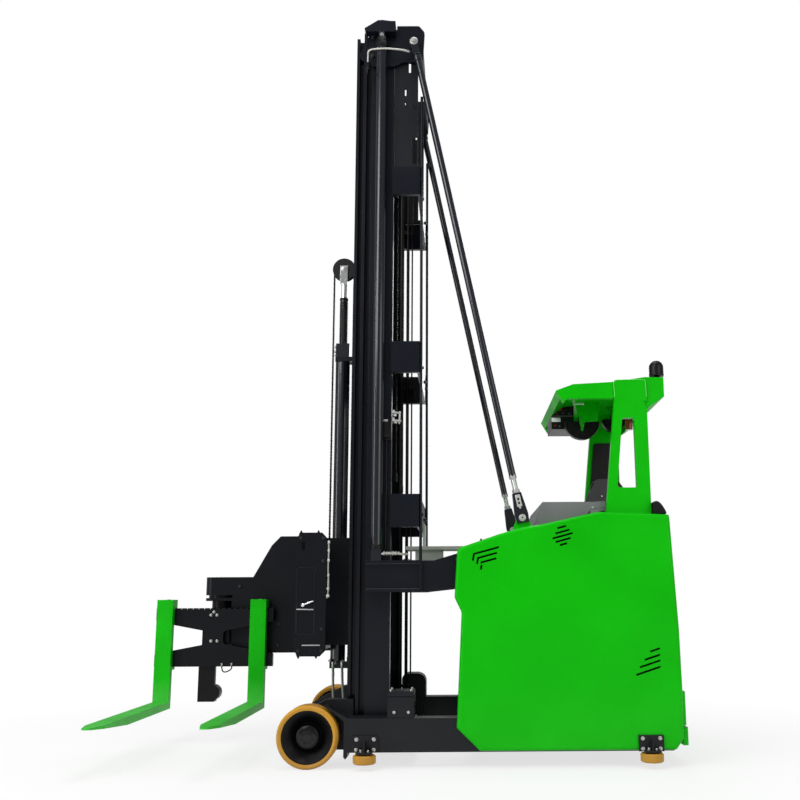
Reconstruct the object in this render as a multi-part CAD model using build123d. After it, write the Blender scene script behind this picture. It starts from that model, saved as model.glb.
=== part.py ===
from build123d import *
import os
from math import atan2, degrees, hypot

# A man-down multidirectional forklift, in millimetres.
# Written with X forward, Y to the truck's left and Z up from the ground, zero below the load axle.
# The saved pieces are shifted so that the origin lies on the ground under the middle of the outline.

# Clearances
SEAT = 0.3
RUNNING = 0.05

# Load wheels and guide rollers
HALF_WIDTH = 650
SKIN = 30
WHEEL_D = 343
WHEEL_W = 130
TYRE_DEPTH = 27
AXLE_R = 25
GUIDE_R = 63.5
GUIDE_H = 46
GUIDE_Z = 35
GUIDE_OUT = 14
GUIDE_Y = HALF_WIDTH + GUIDE_OUT
GUIDE_PIN_R = 12
GUIDE_X = (-322, -1906)

# Chassis
RAIL_OUT = HALF_WIDTH - SKIN
RAIL_W = 110
RAIL_IN = RAIL_OUT - RAIL_W
RAIL_Z0 = 86
RAIL_Z1 = 268
RAIL_FRONT = -222
RAIL_REAR = -2040
LEG_W = 54
LEG_NOSE = 105
CHEEK_W = 70
CHEEK = [(-233, RAIL_Z0), (60, RAIL_Z0), (135, 160), (135, 247), (-77, 356), (-233, 356)]
FOOT_H = 145
ROUND_FOOT = (-617, -455, 425)
PLATE = 12

# Drive unit
DRIVE_X = -1760
DRIVE_D = 350
DRIVE_W = 110
DRIVE_DEPTH = 32
DRIVE_PLATE_Z = 430
DRIVE_BAY_FRONT = -1560

# Slots in the side covers: x and z of the middle, length, tilt in degrees
VENT_W = 11
VENTS = [(-1003, 1194, 152, 15), (-1008, 1166, 117, 15), (-1016, 1138, 93, 15),
         (-929, 1155, 38, 80), (-953, 1135, 34, 80), (-974, 1100, 28, 80),
         (-1439, 1326, 52, 15), (-1443, 1300, 86, 15), (-1443, 1276, 120, 15), (-1446, 1252, 90, 15),
         (-1447, 1228, 43, 15), (-1949, 633, 58, 18), (-1932, 593, 92, 18), (-1918, 557, 122, 18),
         (-1907, 519, 145, 18)]

# Body outline in side view, front top round to the rear and back along the bottom (x, z)
BODY = [(-837, 1208), (-1086, 1292), (-1207, 1326), (-1317, 1342), (-1654, 1415), (-2065, 1397),
        (-2093, 742), (-2097, 414), (-2092, 150), (-2050, 92), (-960, 92), (-830, 215), (-860, 848),
        (-820, 930)]
BODY_RADII = [40, 0, 0, 0, 120, 18, 0, 0, 30, 20, 20, 20, 60, 40]
BODY_REAR = BODY[5:9]
BODY_CORNER = 22
HOOD_T = 25
BODY_FACE = -866
BUMPER_X = -2130
BUMPER_HALF = 600
BUMPERS = [(BUMPER_X, 110, 205), (BUMPER_X + 8, 217, 400)]
POD_W = 155
POD_IN = HALF_WIDTH - POD_W
BATTERY_X = (-1540, -900)
BATTERY_GAP = 30
BATTERY_TOP = 1020
FLOOR_Z = 600
WALL_X = -1600
WALL_T = 25
CONSOLE_FRONT = -1289
CONSOLE_TOP = 1487
CONSOLE_SLOPE = 56
CONSOLE_SEAM = -1632
CONSOLE_REAR = -1718
CONSOLE_T = 45
CONSOLE_WING_Y = 350
SEAT_X = -1848
SEAT_TOP = 1722
SEAT_Y = -300
PAD = (-1983, 1482)

# Overhead guard
GUARD_INSET = 100
GUARD_OUT = HALF_WIDTH - GUARD_INSET
GUARD_T = 50
GUARD_LAP = 8
CANOPY_TOP = 2234
CANOPY_FRONT = -1436
CANOPY_REAR = -2087
CANOPY_BACK = [(CANOPY_FRONT, 2156), (-1540, 2194), (-1780, 2207), (-1975, CANOPY_TOP + 2),
               (CANOPY_REAR, CANOPY_TOP)]
RIM_Z = 2105
CANOPY_LOW = [(CANOPY_REAR, 2116), (-1979, 2043), (-1955, RIM_Z), (-1500, RIM_Z), (-1480, 2080)]
CEILING = [(-1454, 2104), (-1545, 2174), (-1780, 2188), (-2000, 2212)]
LAP_TOP = 2220
POST_FOOT = (-1716, -1981)
POST_HEAD = (-1786, -1979)
FAN_A = (-1656, 2059, 115)
FAN_B = (-1900, 2110, 80)
CANOPY_BOX_Y = (-320, -40)
CANOPY_BOX_Z = 2023
LAMP = (-1968, 24, 2008)

# Mast: nested stages, each narrower and further forward than the one outside it
MAST_H = 4598
MAST_HALF = RAIL_IN - LEG_W
MAST_REAR = -440
RAIL_DEPTH = 146
WEB_T = 16
FLANGE_T = 20
FLANGE_IN = 57
FLANGE_LIP = 42
STAGE_IN = 68
STAGE_FORWARD = 55
STAGE_Z = [(120, MAST_H - 6), (150, MAST_H), (180, MAST_H + 4)]
CROSS_Z = [(1344, 1541), (MAST_H / 2 - 12, MAST_H / 2 + 184), (MAST_H - 1155, MAST_H - 965)]
CROSS_REAR = -610
CROSS_T = 15
CROSS_W = 30
MAST_PLATE_T = 24
CYL_X = -362
CYL_OUT = 61
CYL_Y = MAST_HALF + CYL_OUT
CYL_R = 33.5
CYL_FOOT = 1210
CYL_TOP = MAST_H - 93
ROD_R = 22
EAR_IN = 29
EAR_OUT = 89
BAR_X = (-450, -352)
BAR_T = 14
STAY_TOP = (-569, MAST_H - 119)
STAY_FOOT = (-1220, 1390)
STAY_R = 21
STAY_PIN_R = 10
LUG_T = 24
BEAM_Z0 = 964
BEAM_Z1 = 1146
BEAM_T = 15
PIPES = [(-442, 17), (-486, 11), (-516, 5.5)]
PIPE_Y = 78 - MAST_HALF
PIPE_Z0 = 322
TRAY_T = 15
TRAY_X = (-594, -442)
TRAY_TOP = MAST_H - 178
TRAY_SLITS = [(-547, -533, 299, 228), (-518, -508, 462, 413), (-519, -509, 547, 505),
              (-587, -554, 554, 526),
              (-588, -555, 936, 749)]
GUARD_BAR_TOP = MAST_H - 478
GUARD_BAR_R = 9
BRIDGE_Z = 1236
BRIDGE_T = 22
BRIDGE_Y = (-300, -60)

# Free lift
LIFT_X = -78
LIFT_R = 36
LIFT_Z0 = 536
LIFT_BLOCK = (2501, 2597)
LIFT_Z1 = 2900
LIFT_ROD_R = 18
SHEAVE_R = 66
SHEAVE_FLANGE = 11
SHEAVE_Z = 3117
CHAIN_W = 24
CHAIN_T = 12

# Carriage, turret head and forks
CARR_Z0 = 609
CARR_Z1 = 1303
CARR_X0 = 12
CARR_SIDE_Y = MAST_HALF - 2 * STAGE_IN - 125
TRAV_RAIL_T = 48
TRAV_RAIL_H = 115
GROOVE_W = 14
GROOVE_DEPTH = 20
TRAV_X0 = -91
TRAV_X1 = 82
TRAV_HALF = HALF_WIDTH - 5
TEETH_X = (-40, 60)
PIVOT_X = 785
PIVOT_Y = -490
HEAD_HALF = 115
HEAD_T = 24
HEAD_TOP = (275, 1348)
GUSSET = [(374, 1348), (434, 1286), (553, 1074)]
ARM_Z0 = 953
ARM_Z1 = 1074
ARM_OVER = 95
ARM_ROUND = 55
BEARING_Z = 915
BEARING_LIP = 20
HEAD_Z0 = 572
HEAD_RIB = 360
COLUMN_R = 67
BLOCK_HALF = 90
PLATE_FRONT = 180
PLATE_T = 40
PLATE_HALF = 390
PLATE_Z0 = 489
PLATE_Z1 = 869
NOTCH_X = 60
NOTCH_IN = (633, 719)
NOTCH_OUT = (572, 782)
NOTCH_R = 25
TOOTH_PITCH = 38
TOOTH_W = 14
TOOTH_DEPTH = 8
FORK_L = 1260
FORK_W = 105
FORK_T = 45
FORK_TAPER = 480
FORK_TIP = 130
FORK_TIP_HALF = 22
FORK_X = (321, -296)
FORK_Z = 224
FORK_TOP = 925
HOOK_T = 16

ORIGIN_X = (PIVOT_X + PLATE_HALF + BUMPER_X) / 2
ORIGIN_Y = (PIVOT_Y + PLATE_FRONT + SEAT + FORK_L - GUIDE_Y - GUIDE_R) / 2


def box(x0, x1, y0, y1, z0, z1):
    return Pos((x0 + x1) / 2, (y0 + y1) / 2, (z0 + z1) / 2) * Box(x1 - x0, y1 - y0, z1 - z0)


def side_slab(points, y0, y1, radii=None):
    # Slab between two planes across the truck, from an outline in side view (x, z)
    corners = [(x, y0, z) for x, z in points]
    if radii:
        wire = FilletPolyline(*corners, radius=radii, close=True)
    else:
        wire = Polyline(*corners, close=True)
    return extrude(make_face(wire.edges()), amount=y1 - y0, dir=(0, 1, 0))


def plan_slab(points, z0, z1, radii=None):
    corners = [(x, y, z0) for x, y in points]
    if radii:
        wire = FilletPolyline(*corners, radius=radii, close=True)
    else:
        wire = Polyline(*corners, close=True)
    return extrude(make_face(wire.edges()), amount=z1 - z0, dir=(0, 0, 1))


def post(x, y, z0, z1, r):
    return Pos(x, y, (z0 + z1) / 2) * Cylinder(r, z1 - z0)


def cross_pin(x, y0, y1, z, r):
    return Pos(x, (y0 + y1) / 2, z) * Rot(90, 0, 0) * Cylinder(r, y1 - y0)


def ring_y(x, z, profile):
    # Solid of revolution about an axle along Y, from a profile of (radius, y)
    section = make_face(Polyline(*[(x + r, y, z) for r, y in profile], close=True).edges())
    return revolve(section, Axis((x, 0, z), (0, 1, 0)), 360)


def mirrored(shape):
    return mirror(shape, about=Plane.XZ)


def both(shape):
    return shape + mirrored(shape)


def on_line(points, x):
    # Height of a chain of (x, z) points, running to the rear, at x
    for (xa, za), (xb, zb) in zip(points, points[1:]):
        if xb <= x <= xa:
            return za + (zb - za) * (x - xa) / (xb - xa)
    raise ValueError(x)


def roof_z(x):
    return on_line(BODY[:6], x)


def ceiling_z(x):
    return on_line(CEILING, x)


def canopy_z(x):
    return on_line(CANOPY_BACK, x)


def rear_x(z):
    for (xa, za), (xb, zb) in zip(BODY_REAR, BODY_REAR[1:]):
        if zb <= z <= za:
            return xa + (xb - xa) * (z - za) / (zb - za)
    raise ValueError(z)


def stage(number):
    # Rail of a mast stage: web outer face, flange faces, ends; the outer one is a channel, the others beams
    web = MAST_HALF - number * STAGE_IN
    rear = MAST_REAR + number * STAGE_FORWARD
    lip = FLANGE_LIP if number else 0
    z0, z1 = STAGE_Z[number]
    return dict(web_y=web, flange=(web - FLANGE_IN, web + lip), x0=rear, x1=rear + RAIL_DEPTH, z0=z0, z1=z1)


OUTER, MIDDLE, INNER = (stage(number) for number in range(3))
GROOVE_R = (RAIL_DEPTH - 2 * FLANGE_T) / 2 - SEAT


def groove_x(rail):
    return (rail["x0"] + rail["x1"]) / 2


def save(name, shape):
    moved = Pos(-ORIGIN_X, -ORIGIN_Y, 0) * shape
    export_step(moved, f"parts/{name}.step")


# Chassis

def chassis_frame():
    rail = box(RAIL_REAR, RAIL_FRONT, RAIL_IN, RAIL_OUT, RAIL_Z0, RAIL_Z1)
    inner = OUTER["web_y"]
    axle_z = WHEEL_D / 2
    foot_rear = ROUND_FOOT[0] + 17
    leg = side_slab([(foot_rear, RAIL_Z0), (60, RAIL_Z0), (LEG_NOSE, axle_z), (LEG_NOSE, RAIL_Z1 - 30),
                     (LEG_NOSE - 30, RAIL_Z1), (foot_rear, RAIL_Z1)], inner, RAIL_IN)
    cheek = side_slab(CHEEK, inner - CHEEK_W, inner + 1)
    axle = cross_pin(0, RAIL_IN, HALF_WIDTH - 50, axle_z, AXLE_R)
    fender = side_slab([(-92, 342), (-100, 330), (-200, RAIL_Z1 - 14), (-200, 62), (-211, 50),
                        (RAIL_FRONT, 62), (RAIL_FRONT, RAIL_Z1)], RAIL_IN, RAIL_OUT)
    side_web = box(RAIL_REAR, DRIVE_BAY_FRONT, POD_IN - 45, POD_IN - 1, RAIL_Z0, DRIVE_PLATE_Z)
    one_side = rail + leg + cheek + axle + fender + side_web
    frame = both(one_side)
    frame += box(foot_rear, CHEEK[0][0] + 40, -inner, inner, RAIL_Z0, OUTER["z0"])
    frame += box(-1555, -870, -RAIL_IN, RAIL_IN, RAIL_Z0, RAIL_Z0 + 2 * PLATE)
    frame += box(RAIL_REAR, RAIL_REAR + 60, -RAIL_IN, RAIL_IN, RAIL_Z0, RAIL_Z1)
    frame += box(RAIL_REAR, DRIVE_BAY_FRONT, -POD_IN + 1, POD_IN - 1, DRIVE_PLATE_Z, DRIVE_PLATE_Z + 20)
    return frame


def guide_brackets():
    solids = []
    for x, face in zip(GUIDE_X, (RAIL_OUT, HALF_WIDTH)):
        z0 = GUIDE_Z + GUIDE_H + 8
        plate = box(x - 70, x + 70, face, face + PLATE, z0, 175)
        shelf = box(x - 45, x + 45, face, GUIDE_Y + 45, z0, z0 + 10)
        pin = post(x, GUIDE_Y, GUIDE_Z + 2, z0 + 2, GUIDE_PIN_R)
        rib = box(x - 4, x + 4, face, GUIDE_Y + 40, z0 + 2, 150)
        solids.append(plate + shelf + pin + rib)
    left = solids[0] + solids[1]
    return both(left)


def foot_boxes():
    inner = OUTER["web_y"] + 4
    outer = RAIL_OUT - 5
    near = box(MAST_REAR - 150, MAST_REAR - 2, inner, outer, RAIL_Z1, RAIL_Z1 + FOOT_H)
    x0, x1, top = ROUND_FOOT
    far = side_slab([(x0, RAIL_Z1), (x0, top), (x1, top), (x1, RAIL_Z1)], -outer, -inner, [0, 60, 40, 0])
    return near + far


def load_tyre():
    r1 = WHEEL_D / 2
    r0 = r1 - TYRE_DEPTH
    y0 = HALF_WIDTH - WHEEL_W
    y1 = HALF_WIDTH
    return ring_y(0, r1, [(r0, y0 + 6), (r1 - 12, y0), (r1, y0 + 14), (r1, y1 - 14), (r1 - 12, y1),
                          (r0, y1 - 6)])


def load_rim():
    r1 = WHEEL_D / 2 - TYRE_DEPTH - SEAT
    bore = AXLE_R + RUNNING
    y0 = HALF_WIDTH - WHEEL_W + 8
    y1 = HALF_WIDTH - 8
    hub_in = HALF_WIDTH - 48
    hub = 66
    profile = [(bore, y0), (r1, y0), (r1, y1), (r1 - 8, y1), (hub + 6, y1 - 62), (hub, y1 - 56),
               (hub, y1 - 24),
               (hub - 4, y1 - 16), (hub - 12, y1 - 12), (0, y1 - 12), (0, hub_in), (bore, hub_in)]
    return ring_y(0, WHEEL_D / 2, profile)


def guide_roller(x, side):
    wheel = post(x, side * GUIDE_Y, GUIDE_Z, GUIDE_Z + GUIDE_H, GUIDE_R)
    wheel = chamfer(wheel.edges().filter_by(GeomType.CIRCLE), 6)
    return wheel - post(x, side * GUIDE_Y, GUIDE_Z - 1, GUIDE_Z + GUIDE_H + 1, GUIDE_PIN_R + RUNNING)


def drive_housing():
    top = post(DRIVE_X, 0, DRIVE_PLATE_Z - 40, DRIVE_PLATE_Z - SEAT, 170)
    arm = box(DRIVE_X - 75, DRIVE_X + 75, -DRIVE_W / 2 - 85, -DRIVE_W / 2 - 12, 110, DRIVE_PLATE_Z - 40)
    arm += cross_pin(DRIVE_X, -DRIVE_W / 2 - 85, -DRIVE_W / 2 - 12, DRIVE_D / 2, 100)
    axle = cross_pin(DRIVE_X, -DRIVE_W / 2 - 20, DRIVE_W / 2 - 10, DRIVE_D / 2, AXLE_R)
    return top + arm + axle


def drive_tyre():
    r1 = DRIVE_D / 2
    r0 = r1 - DRIVE_DEPTH
    y1 = DRIVE_W / 2
    return ring_y(DRIVE_X, r1, [(r0, -y1), (r1 - 8, -y1), (r1, -y1 + 8), (r1, y1 - 8), (r1 - 8, y1),
                                (r0, y1)])


def drive_rim():
    r1 = DRIVE_D / 2 - DRIVE_DEPTH - SEAT
    bore = AXLE_R + RUNNING
    y1 = DRIVE_W / 2 - 6
    inner = DRIVE_W / 2 - 8
    profile = [(bore, -y1), (r1, -y1), (r1, y1), (r1 - 14, y1), (r1 - 30, 10), (55, 10), (50, y1 + 4),
               (0, y1 + 4), (0, inner), (bore, inner)]
    return ring_y(DRIVE_X, DRIVE_D / 2, profile)


# Body

def vent_slots():
    cuts = None
    for x, z, length, tilt in VENTS:
        slot = Pos(x, HALF_WIDTH - SKIN / 2, z) * Rot(0, tilt, 0) * Box(length, SKIN * 2, VENT_W)
        cuts = slot if cuts is None else cuts + slot
    return cuts


def body_side():
    cover = side_slab(BODY, HALF_WIDTH - SKIN, HALF_WIDTH, BODY_RADII)
    outer_edges = cover.faces().sort_by(Axis.Y)[-1].edges()
    rear = [e for e in outer_edges if e.center().X < BODY[5][0] - 8 and e.length > 100]
    cover = fillet(rear, BODY_CORNER)
    pod_low = RAIL_Z1 + 2
    pod = side_slab([(WALL_X, pod_low),
                     (WALL_X, roof_z(WALL_X))] + BODY[4:8] + [(rear_x(pod_low), pod_low)],
                    POD_IN, HALF_WIDTH - SKIN)
    return cover - vent_slots() + pod


def body_front():
    y = HALF_WIDTH - SKIN
    return box(BODY_FACE - HOOD_T, BODY_FACE, -y, y, RAIL_Z1 + 2, roof_z(BODY_FACE) - HOOD_T - SEAT)


def body_hood():
    y = HALF_WIDTH - SKIN
    rear = WALL_X + WALL_T + SEAT
    top = [(BODY_FACE, roof_z(BODY_FACE))] + BODY[1:4] + [(rear, roof_z(rear))]
    low = [(x, z - HOOD_T) for x, z in reversed(top)]
    hood = side_slab(top + low, -y, y)
    x, z = STAY_FOOT
    lug = side_slab([(x + 60, roof_z(x + 60)), (x + 28, z + 8), (x + 12, z + 26), (x - 12, z + 26),
                     (x - 28, z + 8),
                     (x - 60, roof_z(x - 60))], CYL_Y - LUG_T / 2, CYL_Y + LUG_T / 2)
    lug -= cross_pin(x, CYL_Y - LUG_T, CYL_Y + LUG_T, z, STAY_PIN_R + RUNNING)
    return hood + both(lug)


def body_rear():
    z0 = RAIL_Z1 + 2
    y = POD_IN - 1
    outside = [(rear_x(z0), z0), BODY[7], (rear_x(FLOOR_Z), FLOOR_Z)]
    panel = side_slab(outside + [(x + HOOD_T, z) for x, z in reversed(outside)], -y, y)
    skirt = side_slab([BODY[8], (rear_x(z0), z0), (RAIL_REAR, z0), (RAIL_REAR, RAIL_Z0), BODY[9]], -y, y)
    rear = panel + skirt
    for x, low, high in BUMPERS:
        face = BODY[7][0] - SEAT
        wide = [(face, -BUMPER_HALF), (x, -BUMPER_HALF), (x, BUMPER_HALF), (face, BUMPER_HALF)]
        rear += plan_slab(wide, low, high, [0, 20, 20, 0])
        rear += box(face - 1, rear_x(z0) + 10, -y, y, low, high)
    return rear


def battery_block():
    y = RAIL_IN - BATTERY_GAP
    return box(*BATTERY_X, -y, y, RAIL_Z0 + 2 * PLATE, BATTERY_TOP)


def operator_floor():
    y = POD_IN - 1
    floor = box(rear_x(FLOOR_Z) + 2, WALL_X, -y, y, FLOOR_Z, FLOOR_Z + 20)
    wall = side_slab([(WALL_X, DRIVE_PLATE_Z + 20), (WALL_X, roof_z(WALL_X) - SEAT),
                      (WALL_X + WALL_T, roof_z(WALL_X + WALL_T) - SEAT),
                      (WALL_X + WALL_T, DRIVE_PLATE_Z + 20)],
                     SKIN - HALF_WIDTH, HALF_WIDTH - SKIN)
    return floor + wall


def console():
    y = POD_IN - 2
    points = [(CONSOLE_FRONT, roof_z(CONSOLE_FRONT)), (CONSOLE_FRONT - CONSOLE_SLOPE, CONSOLE_TOP),
              (CONSOLE_SEAM, CONSOLE_TOP), (CONSOLE_SEAM, CONSOLE_TOP - CONSOLE_T),
              (WALL_X, roof_z(WALL_X)), BODY[3]]
    wing = side_slab([(CONSOLE_SEAM, CONSOLE_TOP - 2), (CONSOLE_REAR, CONSOLE_TOP + 4),
                      (CONSOLE_REAR - 4, CONSOLE_TOP - CONSOLE_T + 12),
                      (CONSOLE_SEAM, CONSOLE_TOP - CONSOLE_T)],
                     CONSOLE_WING_Y, y)
    return side_slab(points, -y, y) + both(wing)


def seat():
    x, y = SEAT_X, SEAT_Y
    base = box(x - 150, x + 150, y + 70, y + 420, FLOOR_Z + 20, 1000)
    cushion = box(x - 190, x + 190, y + 60, y + 500, 1000, 1080)
    back = side_slab([(x - 142, 1085), (x - 144, SEAT_TOP - 57), (x - 100, SEAT_TOP), (x + 92, SEAT_TOP),
                      (x + 143, SEAT_TOP - 144), (x + 145, 1085)], y - 40, y + 40, [20, 30, 25, 60, 60, 20])
    return base + cushion + box(x - 120, x + 120, y - 30, y + 100, 1000, 1090) + back


# Overhead guard

def guard_post():
    low = [(POST_FOOT[0], roof_z(POST_FOOT[0])), (POST_HEAD[0], RIM_Z), CANOPY_LOW[2], CANOPY_LOW[1],
           (POST_FOOT[1], roof_z(POST_FOOT[1]))]
    plate = side_slab(low, GUARD_OUT - GUARD_T, GUARD_OUT)
    lap = side_slab([(POST_HEAD[0], RIM_Z - 20), (POST_HEAD[0] + 6, LAP_TOP - 4),
                     (POST_HEAD[1] + 4, LAP_TOP),
                     (POST_HEAD[1], RIM_Z - 20)], GUARD_OUT - GUARD_LAP, GUARD_OUT, [0, 28, 28, 0])
    window = side_slab([(-1785, 1565), (-1828, 1985), (-1900, 1985), (-1903, 1565)],
                       GUARD_OUT - GUARD_T - 1, GUARD_OUT + 1, 14)
    return plate + lap - window


def post_covers():
    # Dark covers on the inner faces: round the window on the left, over it on the right
    y = GUARD_OUT - GUARD_T
    left = side_slab([(-1740, roof_z(-1740)), (-1768, 1545), (-1790, 1985), (-1822, 1985), (-1778, 1560),
                      (-1910, 1560), (-1962, roof_z(-1962))], y - 14, y, [0, 0, 8, 8, 8, 20, 0])
    right = side_slab([(-1738, roof_z(-1738)), (-1806, 2000), (-1950, 2000), (-1962, roof_z(-1962))],
                      -y, 14 - y, [0, 20, 20, 0])
    return left, right


def rear_pads():
    # Padded rolls on the side pods behind the posts
    x, top = PAD
    y = POD_IN + 5
    return both(side_slab([(x, roof_z(x) + SEAT), (x, top), (x - 36, top - 12),
                           (x - 77, roof_z(x - 77) + SEAT)],
                          y, y + 100, [0, 12, 20, 0]))


def guard_canopy():
    y = GUARD_OUT - GUARD_LAP
    solid = side_slab(CANOPY_BACK + CANOPY_LOW, -y, y)
    below = CANOPY_LOW[1][1] - 1
    hollow = side_slab(CEILING + [(CEILING[-1][0], below), (CEILING[0][0], below)],
                       GUARD_T - GUARD_OUT, GUARD_OUT - GUARD_T)
    return solid - hollow


def canopy_box():
    x1 = CEILING[0][0] - 8
    x0 = CEILING[1][0] - 66
    top = [(x1, ceiling_z(x1) - SEAT), (CEILING[1][0], CEILING[1][1] - SEAT), (x0, ceiling_z(x0) - SEAT)]
    return side_slab(top + [(x0, CANOPY_BOX_Z), (x1, CANOPY_BOX_Z)], *CANOPY_BOX_Y)


def canopy_fans():
    # Half discs with the flat side up, on short stems
    fans = None
    for (x, z, r), y in ((FAN_A, 0), (FAN_B, -200)):
        disc = cross_pin(x, y - 25, y + 25, z, r) & box(x - r - 1, x + r + 1, y - 30, y + 30, z - r - 1, z)
        stem = box(x - 20, x + 20, y - 15, y + 15, z - 1, ceiling_z(x + 20) - SEAT)
        part = disc + stem
        fans = part if fans is None else fans + part
    return fans


def amber_lamp():
    x, r, low = LAMP
    return post(x, 0, low, ceiling_z(x + r) - SEAT, r)


def beacon():
    x, r = CANOPY_REAR + 22, 44
    y = GUARD_OUT - GUARD_INSET
    z = canopy_z(x - 12) + SEAT
    return post(x, y, z, z + 30, 12) + post(x, y, z + 26, z + 82, r) + Pos(x, y, z + 82) * Sphere(r)


# Mast

def rail(of):
    z0, z1 = of["z0"], of["z1"]
    web = box(of["x0"], of["x1"], of["web_y"] - WEB_T, of["web_y"], z0, z1)
    rear = box(of["x0"], of["x0"] + FLANGE_T, *of["flange"], z0, z1)
    front = box(of["x1"] - FLANGE_T, of["x1"], *of["flange"], z0, z1)
    return web + rear + front


def foot_rollers(of, outside):
    # Rollers at a stage's foot, running in the grooves of the stage outside it
    rollers = None
    for z in (of["z0"] + 90, of["z0"] + 330):
        one = cross_pin(groove_x(outside), of["web_y"] - 1, outside["web_y"] - WEB_T - 2, z, GROOVE_R)
        rollers = one if rollers is None else rollers + one
    return rollers


def head_roller(of, inside):
    # Roller at a stage's top, running on the outside of the stage within it
    return cross_pin(groove_x(inside), inside["web_y"] + 2, of["web_y"] - WEB_T + 1, of["z1"] - 120,
                     GROOVE_R)


def mast_frame():
    y0 = OUTER["web_y"]
    frame = None
    for z0, z1 in CROSS_Z:
        side = box(CROSS_REAR, MAST_REAR + 4, y0, y0 + CROSS_W, z0, z1)
        lug = box(MAST_REAR - 20, MAST_REAR, y0 - 20, y0, z0, z1)
        beam = box(CROSS_REAR, CROSS_REAR + CROSS_T, -y0 - CROSS_W, y0 + CROSS_W, z0, z1)
        part = both(side + lug) + beam
        frame = part if frame is None else frame + part
    h = MAST_H
    rear = STAY_TOP[0] - 68
    top = side_slab([(-273, h - 198), (-273, h - 38), (-310, h - 8), (-456, h - 8), (-457, h + 20),
                     (-600, h + 20),
                     (rear, h - 25), (rear + 12, h - 238), (-500, h - 238), (-440, h - 268),
                     (-300, h - 268)],
                    y0, y0 + MAST_PLATE_T, [0, 0, 0, 0, 0, 22, 34, 0, 0, 0, 0])
    top += cross_pin(STAY_TOP[0], y0 + MAST_PLATE_T, CYL_Y - 12 - SEAT, STAY_TOP[1], 24)
    frame += both(top)
    frame += box(rear + 12, rear + 27, -y0 - MAST_PLATE_T, y0 + MAST_PLATE_T, h - 228, h - 78)
    return frame


def hose_trays():
    tray = box(*TRAY_X, OUTER["web_y"] - TRAY_T, OUTER["web_y"], CROSS_Z[-1][1] + SEAT, TRAY_TOP)
    # A slit's ends are given by how far they lie below the mast's top
    for x0, x1, low, high in TRAY_SLITS:
        tray -= box(x0, x1, OUTER["web_y"] - TRAY_T - 1, OUTER["web_y"] + 1, MAST_H - low, MAST_H - high)
    return both(tray)


def guard_bars():
    return both(post(CROSS_REAR - GUARD_BAR_R, OUTER["web_y"] + 10, BEAM_Z1, GUARD_BAR_TOP, GUARD_BAR_R))


def mast_support():
    y0 = OUTER["web_y"]
    rear = BODY_FACE + SEAT
    x0, x1 = CROSS_REAR - 6, OUTER["x1"] - 3
    out = y0 + EAR_OUT - 4
    web = side_slab([(x1, BEAM_Z0), (x1, BEAM_Z1), (x0 - 84, BEAM_Z1), (rear, BEAM_Z1 + 49),
                     (rear, BEAM_Z0 + 26),
                     (x0, BEAM_Z0)], y0 + CROSS_W, y0 + CROSS_W + BEAM_T)
    top = box(x0, x1, y0, out, BEAM_Z1 - BEAM_T, BEAM_Z1)
    low = box(x0, x1, y0, out, BEAM_Z0, BEAM_Z0 + BEAM_T)
    end = box(x0 - 14, x0, y0, out, BEAM_Z0, BEAM_Z1)
    back = box(MAST_REAR, x1, y0, y0 + CROSS_W, BEAM_Z0, BEAM_Z1)
    return web + top + low + end + back


def mast_pipes():
    # Lift pipes and a cable behind the right rail, held by clips on the cross members
    pipes = None
    for x, r in PIPES:
        pipe = post(x, PIPE_Y, PIPE_Z0, STAY_TOP[1] - 140, r)
        pipes = pipe if pipes is None else pipes + pipe
    last_x, last_r = PIPES[-1]
    inner = OUTER["web_y"] - 20
    for z0, z1 in CROSS_Z:
        z = (z0 + z1) / 2
        pipes += box(last_x - last_r - 3, MAST_REAR - 5, PIPE_Y - 3, PIPE_Y + 6, z - 12, z + 12)
        pipes += box(MAST_REAR - 20, MAST_REAR - 5, SEAT - inner, PIPE_Y, z - 12, z + 12)
    pipes += box(last_x - last_r - 3, MAST_REAR - 5, PIPE_Y - 3, PIPE_Y + 6, PIPE_Z0 + 20, PIPE_Z0 + 40)
    return pipes


def hose_bridge():
    # Shelf that carries the hoses from the body to the mast, with a valve box under it
    y0, y1 = BRIDGE_Y
    rear = BODY_FACE - 40
    front = CROSS_REAR - SEAT
    shelf = box(rear, -500, y0, y1, BRIDGE_Z, BRIDGE_Z + BRIDGE_T)
    hanger = box(front - PLATE, front, y0, y1, BRIDGE_Z, CROSS_Z[0][0] + 60)
    foot = side_slab([(rear, roof_z(rear) + SEAT), (BODY_FACE - 6, roof_z(BODY_FACE - 6) + SEAT),
                      (BODY_FACE - 6, BRIDGE_Z + 1), (rear, BRIDGE_Z + 1)], y0, y1)
    valves = box(-740, -560, y0 + 30, y1 - 30, BRIDGE_Z - 70, BRIDGE_Z)
    return shelf + hanger + foot + valves


def lift_barrel():
    foot = box(CYL_X - 30, CYL_X + 30, CYL_Y - 24, CYL_Y + 24, BEAM_Z1, CYL_FOOT)
    barrel = post(CYL_X, CYL_Y, CYL_FOOT, CYL_TOP, CYL_R)
    bore = post(CYL_X, CYL_Y, CYL_FOOT + 60, CYL_TOP + 1, ROD_R + RUNNING)
    return foot + barrel - bore


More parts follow.
